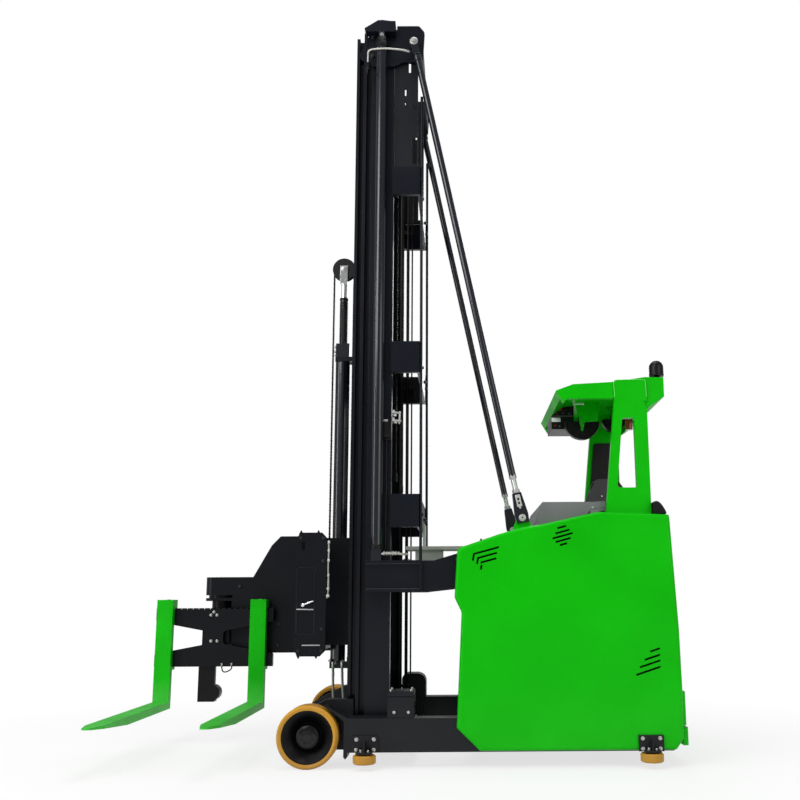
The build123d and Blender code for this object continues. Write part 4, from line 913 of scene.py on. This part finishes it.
# Operator's seat, facing the truck's left side, and the two pads at the rear
seatShape = {
    "cushion": ((-2034, -206, 1002), (-1662, 196, 1082)), "crown": 20,
    "back": ((-1990, -338, 1092), (-1706, -262, 1720)), "backCrown": 14,
    # Sewn channels and their depth
    "cushionY": ((-110, -10, 90), 6), "cushionX": ((-1966, -1730), 7),
    "backZ": ((1235, 1360, 1485, 1600), 6), "backX": ((-1944, -1752), 6),
    # Piping round the cushion: inset, height over its foot, corner and radius
    "piping": (2, 22, 46, 4.5), "cut": 4,
    # Moulded pan and backshell
    "backshell": [(-1984, 1096), (-1986, 1650), (-1944, 1708), (-1764, 1708), (-1712, 1570), (-1710, 1096)],
    "shellY": (-339, -322), "bracket": ((-1966, -328, 1002), (-1730, -204, 1088)),
    # Suspension box with the ribs of its bellows
    "base": ((-1996, -228, 621), (-1700, 118, 998)), "foot": 60, "ribs": 9, "ribsFrom": 64, "ribsTo": 54,
    # Inset from the box of the top plate, the ribs and the folds, each with its height or the gap over it
    "plate": (8, 50), "rib": (14, 7), "fold": (24, 8),
    # Knob on the back and slide lever under the cushion
    "knob": (-1812, -262, 1598), "knobShape": [(0, 12), (5, 11), (7, 8), (7, 0)],
    "lever": ((-1668, 100, 1010), (-1668, 190, 1010)), "grip": [(0, 8), (8, 6), (11, 0), (10, -22), (6, -26)],
}


def softBox(low, high, cuts, inset, crown, axis, taper=0.0):
    # Cushion form: a divided box whose sides pull in and whose broad face swells
    bm = bmesh.new()
    bmesh.ops.create_cube(bm, size=2)
    bmesh.ops.subdivide_edges(bm, edges=bm.edges, cuts=cuts, use_grid_fill=True)
    a, b = at(*low), at(*high)
    middle, half = (a + b) / 2, (b - a) / 2
    across = [k for k in range(3) if k != axis]
    for v in bm.verts:
        p = v.co.copy()
        swell = (1 - abs(p[across[0]]) ** 2.4) * (1 - abs(p[across[1]]) ** 2.4)
        round2 = 1 - inset * (abs(p[across[0]]) * abs(p[across[1]])) ** 6
        pull = 1 - 0.045 * (1 - abs(p[axis]) ** 2)
        narrow = 1 - taper * max(p[across[-1]], 0) ** 2
        q = Vector(p)
        q[across[0]] *= round2 * narrow * (1 if abs(p[across[0]]) < 0.99 else pull + 0.02)
        q[across[1]] *= round2
        q[axis] = p[axis] * (1 - crown / (half[axis] * 1000) * (1 - swell) * (0.5 if p[axis] < 0 else 1))
        v.co = middle + Vector([q[k] * half[k] for k in range(3)])
    return bm


def pressChannels(bm, axis, across, middle, places, deep, width=0.012):
    # Sewn channels in the broad face, across one axis of Blender's
    lines = [at(*[place if k == across else 0 for k in range(3)])[across] for place in places]
    for v in bm.verts:
        if v.co[axis] <= middle:
            continue
        for line in lines:
            gap = abs(v.co[across] - line)
            if gap < width:
                v.co[axis] -= deep / 1000 * (0.5 + 0.5 * math.cos(math.pi * gap / width))


def finishSoft(name, bm, key):
    piece = finishPiece(name, bm, key, "chassis", sharp=180)
    smooth = piece.modifiers.new("smooth", "SUBSURF")
    smooth.levels = smooth.render_levels = 1
    return piece


def makeSeat(s):
    (x0, y0, z0), (x1, y1, z1) = s["cushion"]
    cushion = softBox(*s["cushion"], 23, 0.16, s["crown"], 2)
    middle = at(0, 0, (z0 + z1) / 2).z
    pressChannels(cushion, 2, 1, middle, *s["cushionY"])
    pressChannels(cushion, 2, 0, middle, *s["cushionX"])
    seat = finishSoft("seat_cushion", cushion, "seatCloth")
    back = softBox(*s["back"], 23, 0.2, s["backCrown"], 1, taper=0.3)
    middle = at(0, (s["back"][0][1] + s["back"][1][1]) / 2, 0).y
    pressChannels(back, 1, 2, middle, *s["backZ"])
    pressChannels(back, 1, 0, middle, *s["backX"])
    finishSoft("seat_back", back, "seatCloth")
    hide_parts("seat")
    trim, shell, knob = newShapes(3)
    (inset, high, r, radius), cut = s["piping"], s["cut"]
    px, qx, py, qy = x0 + inset, x1 - inset, y0 + inset, y1 - inset
    line = [(px + r, py), (qx - r, py), (qx - cut, py + cut), (qx, py + r),
            (qx, qy - r), (qx - cut, qy - cut), (qx - r, qy), (px + r, qy), (px + cut, qy - cut),
            (px, qy - r), (px, py + r), (px + cut, py + cut), (px + r, py)]
    addPipe(trim, [(x, y, z0 + high) for x, y in line], radius)
    addBlock(shell, (x0 + 20, y0 + 16, z0 - 2), (x1 - 20, y1 - 16, z0 + 16), 6)
    addPlate(shell, s["backshell"], *s["shellY"], 5)
    addBlock(shell, *s["bracket"], 8)
    (x0, y0, z0), (x1, y1, z1) = s["base"]

    def layer(inset, low, high, edge):
        addBlock(shell, (x0 + inset, y0 + inset, low), (x1 - inset, y1 - inset, high), edge)

    layer(0, z0, z0 + s["foot"], 6)
    (plateIn, plate), (ribIn, gap), (foldIn, fold) = s["plate"], s["rib"], s["fold"]
    layer(plateIn, z1 - plate, z1, 6)
    step = (z1 - z0 - s["ribsFrom"] - s["ribsTo"]) / s["ribs"]
    for i in range(s["ribs"]):
        z = z0 + s["ribsFrom"] + i * step
        layer(ribIn, z, z + step - gap, 9)
        layer(foldIn, z + step - fold, z + step + 1, 0)
    addSpun(knob, s["knob"], (0, 1, 0), s["knobShape"], 24)
    addRod(knob, *s["lever"], 5, 12)
    addSpun(knob, s["lever"][1], (0, 1, 0), s["grip"], 20)
    finishAll("chassis", ("seat_piping", trim, "rubber", "seat_leather"),
              ("seat_shell", shell, "black", "black_plastic"),
              ("seat_knobs", knob, "steel", "bare_steel"))


makeSeat(seatShape)
print("seat made")

padShape = {"x": (-2059, -1985), "y": (502, 598), "z": (1402, 1480), "crown": 4, "thin": 0.16, "reach": 1.35,
            "start": 0.02}


def makePads(s):
    for hand, side in (("left", 1), ("right", -1)):
        low, high = zip(s["x"], sorted(side * y for y in s["y"]), s["z"])
        bm = softBox(low, high, 11, 0.1, s["crown"], 1)
        rear, front, foot = at(*low).x, at(*high).x, at(*low).z
        for v in bm.verts:  # quarter round towards the rear
            turn = min(max((v.co.x - rear) / (front - rear), 0) * s["reach"] + s["start"], 1) * math.pi / 2
            v.co.z = foot + (v.co.z - foot) * (s["thin"] + (1 - s["thin"]) * math.sin(turn))
        finishSoft("rear_pad_" + hand, bm, "rubber")
    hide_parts("rear_pads")


makePads(padShape)
print("rear pads made")


# Console: seam, skirts, display, steering disc, control lever and switches
consoleParts = {
    "top": 1487, "y": 492, "seamX": (-1633.5, -1630.5), "seamDeep": 44,
    "skirt": [(-1628, 1390), (-1628, 1441), (-1714, 1453), (-1732, 1396)], "skirtThick": 9,
    "pin": (-1644, 1452), "pinShape": [(0, 4), (6, 3), (8, 0)],
    "seal": [(-1293, 1339), (-1340, 1351), (-1480, 1381), (-1640, 1416), (-1712, 1432)],
    # Low steering disc with its knob
    "disc": (-1545, -380, 1487),
    "discShape": [(0, 26), (20, 26), (34, 30), (76, 32), (82, 29), (82, 21), (76, 18), (36, 16), (20, 12),
                  (20, 0)],
    "knob": (-1570, -335, 1517), "knobShape": [(0, 34), (11, 32), (15, 26), (15, 18), (8, 6), (8, 0)],
    # Hand lever on its foot
    "foot": ((-1700, -478, 1483), (-1640, -390, 1499)), "lever": ((-1670, -440, 1497), (-1674, -440, 1529)),
    "grip": (-1674, -440, 1527), "gripAxis": (-0.12, 0, 1),
    "gripShape": [(0, 34), (12, 33), (18, 26), (19, 14), (13, 2), (7, 0)],
    # Bare display with its hood, and a row of switches
    "display": ((-1600, -250, 1485), (-1470, -40, 1497)), "hood": ((-1600, -240, 1495), (-1580, -50, 1531)),
    "glass": ((-1584, -236, 1493), (-1484, -54, 1499)),
    "switches": 6, "switch": ((-1620, -20, 1486), (-1600, 2, 1492)), "switchStep": 34,
}


def makeConsole(s):
    seam, knobs, screen, wheel, pins, edges, skirts, glass = newShapes(8)
    (x0, x1), y, top = s["seamX"], s["y"], s["top"]
    addBlock(seam, (x0, -y, top - 1), (x1, y, top + 0.4), 0)
    addBlock(seam, (x0, y - 1, top - s["seamDeep"]), (x1, y + 0.4, top), 0)
    for side in (1, -1):
        addPlate(skirts, s["skirt"], side * (y - s["skirtThick"]), side * y, 2)
        addSpun(pins, (s["pin"][0], side * y, s["pin"][1]), (0, side, 0), s["pinShape"], 24)
    addPipe(edges, [(x, y + 1, z) for x, z in s["seal"]], 3, 2)
    addSpun(wheel, s["disc"], up, s["discShape"], 48)
    addSpun(wheel, s["knob"], up, s["knobShape"], 28)
    addBlock(wheel, *s["foot"], 8)
    addRod(wheel, *s["lever"], 11, 20, tip=8, edge=1)
    addSpun(wheel, s["grip"], s["gripAxis"], s["gripShape"], 28)
    addBlock(screen, *s["display"], 5)
    addBlock(screen, *s["hood"], 7, ("Y", -20))
    addBlock(glass, *s["glass"], 1)
    (x0, y0, z0), (x1, y1, z1) = s["switch"]
    for i in range(s["switches"]):
        step = i * s["switchStep"]
        addBlock(knobs, (x0, y0 + step, z0), (x1, y1 + step, z1), 2)
    finishAll("chassis", ("console_seams", seam, "deepBlack", "black_plastic"),
              ("console_skirts", skirts, "console", "grey_plastic"),
              ("console_pins", pins, "zinc", "bare_steel"),
              ("console_edge_seal", edges, "rubber", "black_plastic"),
              ("console_knobs", knobs, "knobGrey", "grey_plastic"),
              ("steering_disc_and_lever", wheel, "rubber", "black_plastic"),
              ("display_housing", screen, "black", "black_plastic"),
              ("display_glass", glass, "glass", "black_plastic"))


makeConsole(consoleParts)
print("console fittings made")


# Canopy: fans with ribbed guards, the box's fittings, lamp cage and beacon
canopyParts = {
    # Fans: middle, radius, distance across and height of the roof over each
    "fans": [((-1656, 2059), 115, 0, 2187), ((-1900, 2110), 80, -200, 2198)],
    "guardY": 27, "rimSteps": 24, "rim": 5, "spokes": 8, "hub": 22, "spoke": 2,
    "cap": [(0, 8), (15, 7), (19, 3), (19, 0)],
    # Hanging plate with a V foot that carries a fan
    "hangerTop": (48, -120), "hanger": [(22, 30), (8, -52), (2, -62), (-6, -58), (-17, -2), (-100, 2)],
    "hangerY": (28, 33), "hangerBolts": [(3, -40), (-4, -14), (10, 20)],
    # Face of the box: plates, pegs and cables
    "plates": [((-1523, -41, 2072), (-1463, -38.5, 2101), 1), ((-1672, 32, 2172), (-1606, 36, 2180), 0.6)],
    "strip": ((-1603, -41, 2107), (-1470, -36, 2115)), "block": ((-1536, -43, 2148), (-1514, -34, 2162)),
    "pegY": (-40, -32), "peg": 6,
    "pegs": [(-1591, 2043), (-1553, 2045), (-1515, 2041), (-1487, 2047), (-1581, 2127), (-1537, 2131),
             (-1501, 2125)],
    # Points of the first cable, and how far each moves across and up to the next
    "cables": 3,
    "cable": [((-1605, -70, 2063), -20, 0), ((-1641, -60, 2057), -20, 8), ((-1673, -30, 2089), 0, 6),
              ((-1701, -10, 2143), 0, 0)],
    # Painted highlight: a lighter green line along the edge of each post's lap on the canopy
    "highlightLineY": 551,
    "highlightLine": [(-1787, 2110), (-1785, 2160), (-1783, 2196), (-1786, 2214), (-1806, 2217), (-1880, 2218),
             (-1950, 2219), (-1972, 2216), (-1976, 2196), (-1977, 2150), (-1978, 2110)],
    "lamp": (-1968, 0), "ribs": 7, "ribZ": 2016, "ribStep": 9, "rib": [(23, -3), (25.6, 0), (23, 3)],
    "lampCapZ": 2092, "lampCap": [(24, -6), (29, -4), (29, 8), (24, 10)],
    # Beacon: base flange and collar round the dome
    "flange": (-2065, 450, 2238), "flangeShape": [(0, 8), (30, 6), (34, 3), (34, -2)],
    "collar": (-2065, 450, 2262), "collarShape": [(20, -6), (40, -2), (45, 3), (45.4, 10), (44, 16)],
}


def makeCanopyParts(s):
    rings, green, small, red, white, amber, trim = newShapes(7)
    for (x, z), r, y, roof in s["fans"]:
        def below(turn, radius):
            a = math.pi * (1 + turn)
            return (x + radius * math.cos(a), y + s["guardY"], z + radius * math.sin(a))

        half = [below(k / s["rimSteps"], r - 4) for k in range(s["rimSteps"] + 1)]
        for a, b in [*zip(half, half[1:]), (half[0], half[-1])]:
            addRod(rings, a, b, s["rim"], 8, edge=0)
        for k in range(1, s["spokes"]):
            turn = k / s["spokes"]
            addRod(rings, below(turn, s["hub"]), below(turn, r - 6), s["spoke"], 6, edge=0)
        addSpun(rings, (x, y + 24, z - 8), (0, 1, 0), s["cap"], 28)
        first, last = ((x + dx, roof) for dx in s["hangerTop"])
        near, far = (y + dy for dy in s["hangerY"])
        addPlate(green, [first, *[(x + dx, z + dz) for dx, dz in s["hanger"]], last], near, far, 1)
        for dx, dz in s["hangerBolts"]:
            addBolt(small, (x + dx, far, z + dz), (0, 1, 0), 9, washer=False)
    for low, high, edge in s["plates"]:
        addBlock(white, low, high, edge)
    addBlock(small, *s["strip"], 1)
    for k, (x, z) in enumerate(s["pegs"]):
        near, far = ((x, y, z) for y in s["pegY"])
        addRod(small if k % 3 else red, near, far, s["peg"], 10, edge=0.6)
    addBlock(red, *s["block"], 2)
    for k in range(s["cables"]):
        addPipe(small, [(x, y + k * dy, z + k * dz) for (x, y, z), dy, dz in s["cable"]], 3)
    # Painted highlight: lighter green lines along the laps' edges
    for side in (1, -1):
        addPipe(trim, [(x, side * s["highlightLineY"], z) for x, z in s["highlightLine"]], 2.2, 2)
    for k in range(s["ribs"]):
        addSpun(amber, (*s["lamp"], s["ribZ"] + k * s["ribStep"]), up, s["rib"], 32)
    addSpun(small, (*s["lamp"], s["lampCapZ"]), up, s["lampCap"], 32)
    addSpun(rings, s["flange"], up, s["flangeShape"], 36)
    addSpun(rings, s["collar"], up, s["collarShape"], 40)
    finishAll("chassis", ("fan_guards_and_beacon_ribs", rings, "black", "black_plastic"),
              ("lap_edge_highlights", trim, "greenHighlight", "green_paint"),
              ("fan_brackets", green, "green", "green_paint"),
              ("canopy_fittings", small, "knobGrey", "black_plastic"),
              ("canopy_red_fittings", red, "red", "black_plastic"),
              ("canopy_white_plates", white, "whitePlastic", "grey_plastic"),
              ("lamp_ribs", amber, "lampAmber", "amber_plastic"))


makeCanopyParts(canopyParts)
print("canopy fittings made")


# Operator's floor: ribbed rubber mat
floorMat = {"x": (-2078, -1606), "y": 486, "z": 620, "thick": 5, "rib": 26, "ribHalf": 6, "ribInset": 14,
            "ribStart": 16,
            "ribEnd": 10}


def makeFloorMat(s):
    bm = bmesh.new()
    (x0, x1), edgeY, z = s["x"], s["y"], s["z"]
    addBlock(bm, (x0, -edgeY, z), (x1, edgeY, z + s["thick"]), 2)
    y = s["ribStart"] - edgeY
    while y < edgeY - s["ribEnd"]:
        addBlock(bm, (x0 + s["ribInset"], y - s["ribHalf"], z + 4),
                 (x1 - s["ribInset"], y + s["ribHalf"], z + 8), 1.5)
        y += s["rib"]
    finishPiece("floor_mat", bm, "rubber", "chassis")


makeFloorMat(floorMat)
print("floor mat made")


# Battery cover: lifting handles, and screws square to the hood's slope and its top
hoodParts = {
    "handle": (-976, 1255), "handleY": 250, "legs": (-46, 46), "bar": 50, "high": 26, "rod": 6,
    "screws": [((-882, 1223), (-74, 0, 220)), ((-1072, 1288), (-74, 0, 220)), ((-1300, 1340), up)],
    "screwY": (-180, 0, 180), "screw": 11,
}


def makeHoodParts(s):
    handles, screws = newShapes(2)
    x, z = s["handle"]
    top = x - 6
    for side in (1, -1):
        y = side * s["handleY"]
        for dy in s["legs"]:
            addRod(handles, (x, y + dy, z - 4), (top, y + dy, z + s["high"]), s["rod"], 14)
        bar = [(top, y + dy, z + s["high"] - 2) for dy in (-s["bar"], s["bar"])]
        addRod(handles, *bar, s["rod"], 14, edge=2)
        for (sx, sz), axis in s["screws"]:
            for dy in s["screwY"]:
                addBolt(screws, (sx, y + dy, sz), axis, s["screw"])
    finishAll("chassis", ("hood_handles", handles, "black", "black_plastic"),
              ("hood_screws", screws, "zinc", "bare_steel"))


makeHoodParts(hoodParts)
print("hood fittings made")


# Drive unit: traction motor with cooling fins, gear case bolts and wheel nuts
driveParts = {
    "x": -1760, "motor": (452, 590, 92), "fins": 24, "fin": 4, "finEnd": 12,
    # Rings of bolts: count, radius of the circle and size
    "plateZ": 390, "plateBolts": (10, 150, 13), "wheelZ": 175, "armY": -140, "armBolts": (8, 80, 13),
    "nutY": 53, "nuts": (6, 40, 14),
}


def makeDriveParts(s):
    motor, bolts, nuts = newShapes(3)
    x, (z0, z1, radius) = s["x"], s["motor"]
    addRod(motor, (x, 0, z0), (x, 0, z1), radius, 40, edge=4)
    for dx, dy in ringOf(s["fins"], radius + 2):
        addRod(motor, (x + dx, dy, z0 + s["finEnd"]), (x + dx, dy, z1 - s["finEnd"]), s["fin"], 8, edge=0)
    count, circle, across = s["plateBolts"]
    for dx, dy in ringOf(count, circle):
        addBolt(bolts, (x + dx, dy, s["plateZ"]), (0, 0, -1), across)
    for shape, part, y, side in ((bolts, "armBolts", s["armY"], -1), (nuts, "nuts", s["nutY"], 1)):
        count, circle, across = s[part]
        for dx, dz in ringOf(count, circle):
            addBolt(shape, (x + dx, y, s["wheelZ"] + dz), (0, side, 0), across)
    finishPiece("traction_motor", motor, "black", "chassis")
    finishPiece("gear_case_bolts", bolts, "zinc", "drive_unit")
    finishPiece("drive_wheel_nuts", nuts, "zinc", "drive_wheel")


makeDriveParts(driveParts)
print("drive unit fittings made")


# Foot boxes behind the mast: lid seam and screws
footParts = {
    "x": (-590, -442), "y": (460, 615), "seam": (382.5, 385.5), "proud": 0.8,
    "lidX": (-574, -458), "lidY": (478, 597), "lidZ": 413, "lid": 11, "sideX": (-560, -480), "sideZ": 300,
    "sideBolt": 13,
}


def makeFootParts(s):
    seam, screws = newShapes(2)
    (x0, x1), (y0, y1), (z0, z1), d = s["x"], s["y"], s["seam"], s["proud"]
    addBlock(seam, (x0 - d, y0 - d, z0), (x1 + d, y1 + d, z1), 0)
    for x in s["lidX"]:
        for y in s["lidY"]:
            addBolt(screws, (x, y, s["lidZ"]), up, s["lid"])
    for x in s["sideX"]:
        addBolt(screws, (x, y1, s["sideZ"]), (0, 1, 0), s["sideBolt"])
    finishAll("chassis", ("foot_box_seam", seam, "deepBlack", "black_paint"),
              ("foot_box_screws", screws, "zinc", "bare_steel"))


makeFootParts(footParts)
print("foot box fittings made")


# Studio
studio = {
    "worldLight": 0.34, "floorSize": 40, "floorGrey": (0.86, 0.86, 0.86, 1),
    "fadeFrom": 1.6, "fadeTo": 4.2, "glow": 0.72,
    # Lamps: place, aim, width and height, watts
    "lamps": {
        "key": ((3.2, 4.6, 5.2), (0.0, 0.0, 1.6), (3.0, 3.0), 190),
        "fill": ((-4.5, 4.5, 3.0), (-0.5, 0.0, 1.5), (3.5, 3.5), 90),
        "top": ((-0.5, 0.5, 8.0), (0.0, 0.0, 1.0), (4.0, 4.0), 190),
        "back": ((-1.5, -5.0, 4.5), (0.0, 0.0, 2.0), (3.0, 3.0), 120),
        "stripLeft": ((5.4, 2.6, 2.4), (0.4, 0.0, 2.3), (0.7, 5.0), 110),
    },
}
plainWhite = (1, 1, 1, 1)


def anyRay(n, link, *kinds):
    # 1 for the named kinds of ray
    path = addNode(n, "LightPath")
    either = addNode(n, "Math", operation="MAXIMUM")
    for socket, kind in zip(either.inputs, kinds):
        link.new(path.outputs[kind], socket)
    return either


def mixShaders(n, link, share, first, second):
    mix = addNode(n, "MixShader")
    link.new(share, mix.inputs["Fac"])
    link.new(first, mix.inputs[1])
    link.new(second, mix.inputs[2])
    return mix.outputs["Shader"]


def makeWorld(s):
    world = bpy.data.worlds.new("studio")
    scene.world = world
    world.use_nodes = True
    n, link = world.node_tree.nodes, world.node_tree.links
    n.clear()
    out = addNode(n, "OutputWorld")
    light, white = (addNode(n, "Background", {"Color": plainWhite,
                                              "Strength": strength}).outputs["Background"]
                    for strength in (s["worldLight"], 1.0))
    seen = anyRay(n, link, "Is Camera Ray", "Is Transmission Ray")
    link.new(mixShaders(n, link, seen.outputs["Value"], light, white), out.inputs["Surface"])


def makeLamps(s):
    for name, (place, aim, size, watts) in s["lamps"].items():
        data = bpy.data.lights.new(name, "AREA")
        data.energy = watts
        data.shape = "RECTANGLE"
        data.size, data.size_y = size
        lamp = bpy.data.objects.new(name, data)
        scene.collection.objects.link(lamp)
        turn = (Vector(place) - Vector(aim)).to_track_quat("Z", "Y").to_matrix().to_4x4()
        lamp.matrix_world = Matrix.Translation(place) @ turn


def makeFloor(s):
    bm = bmesh.new()
    bmesh.ops.create_grid(bm, x_segments=1, y_segments=1, size=s["floorSize"])
    mesh = bpy.data.meshes.new("floor")
    bm.to_mesh(mesh)
    bm.free()
    floor = bpy.data.objects.new("floor", mesh)
    scene.collection.objects.link(floor)
    material, n, link = newMaterial("floor")
    n.clear()
    out = addNode(n, "OutputMaterial")
    lit = addNode(n, "BsdfDiffuse", {"Color": s["floorGrey"]})
    glow = addNode(n, "Emission", {"Color": plainWhite, "Strength": 1.0})
    # The floor fades to the background's white away from the truck
    place = addNode(n, "TexCoord")
    away = addNode(n, "VectorMath", operation="LENGTH")
    link.new(place.outputs["Object"], away.inputs[0])
    reach = {"From Min": s["fadeFrom"], "From Max": s["fadeTo"], "To Min": s["glow"], "To Max": 1.0}
    fade = addNode(n, "MapRange", reach, interpolation_type="SMOOTHSTEP")
    link.new(away.outputs["Value"], fade.inputs["Value"])
    shown = mixShaders(n, link, fade.outputs["Result"], lit.outputs["BSDF"], glow.outputs["Emission"])
    seen = anyRay(n, link, "Is Camera Ray", "Is Glossy Ray")
    link.new(mixShaders(n, link, seen.outputs["Value"], lit.outputs["BSDF"], shown), out.inputs["Surface"])
    mesh.materials.append(material)


scene.view_settings.view_transform = "Standard"
makeWorld(studio)
makeLamps(studio)
makeFloor(studio)
print("studio made")
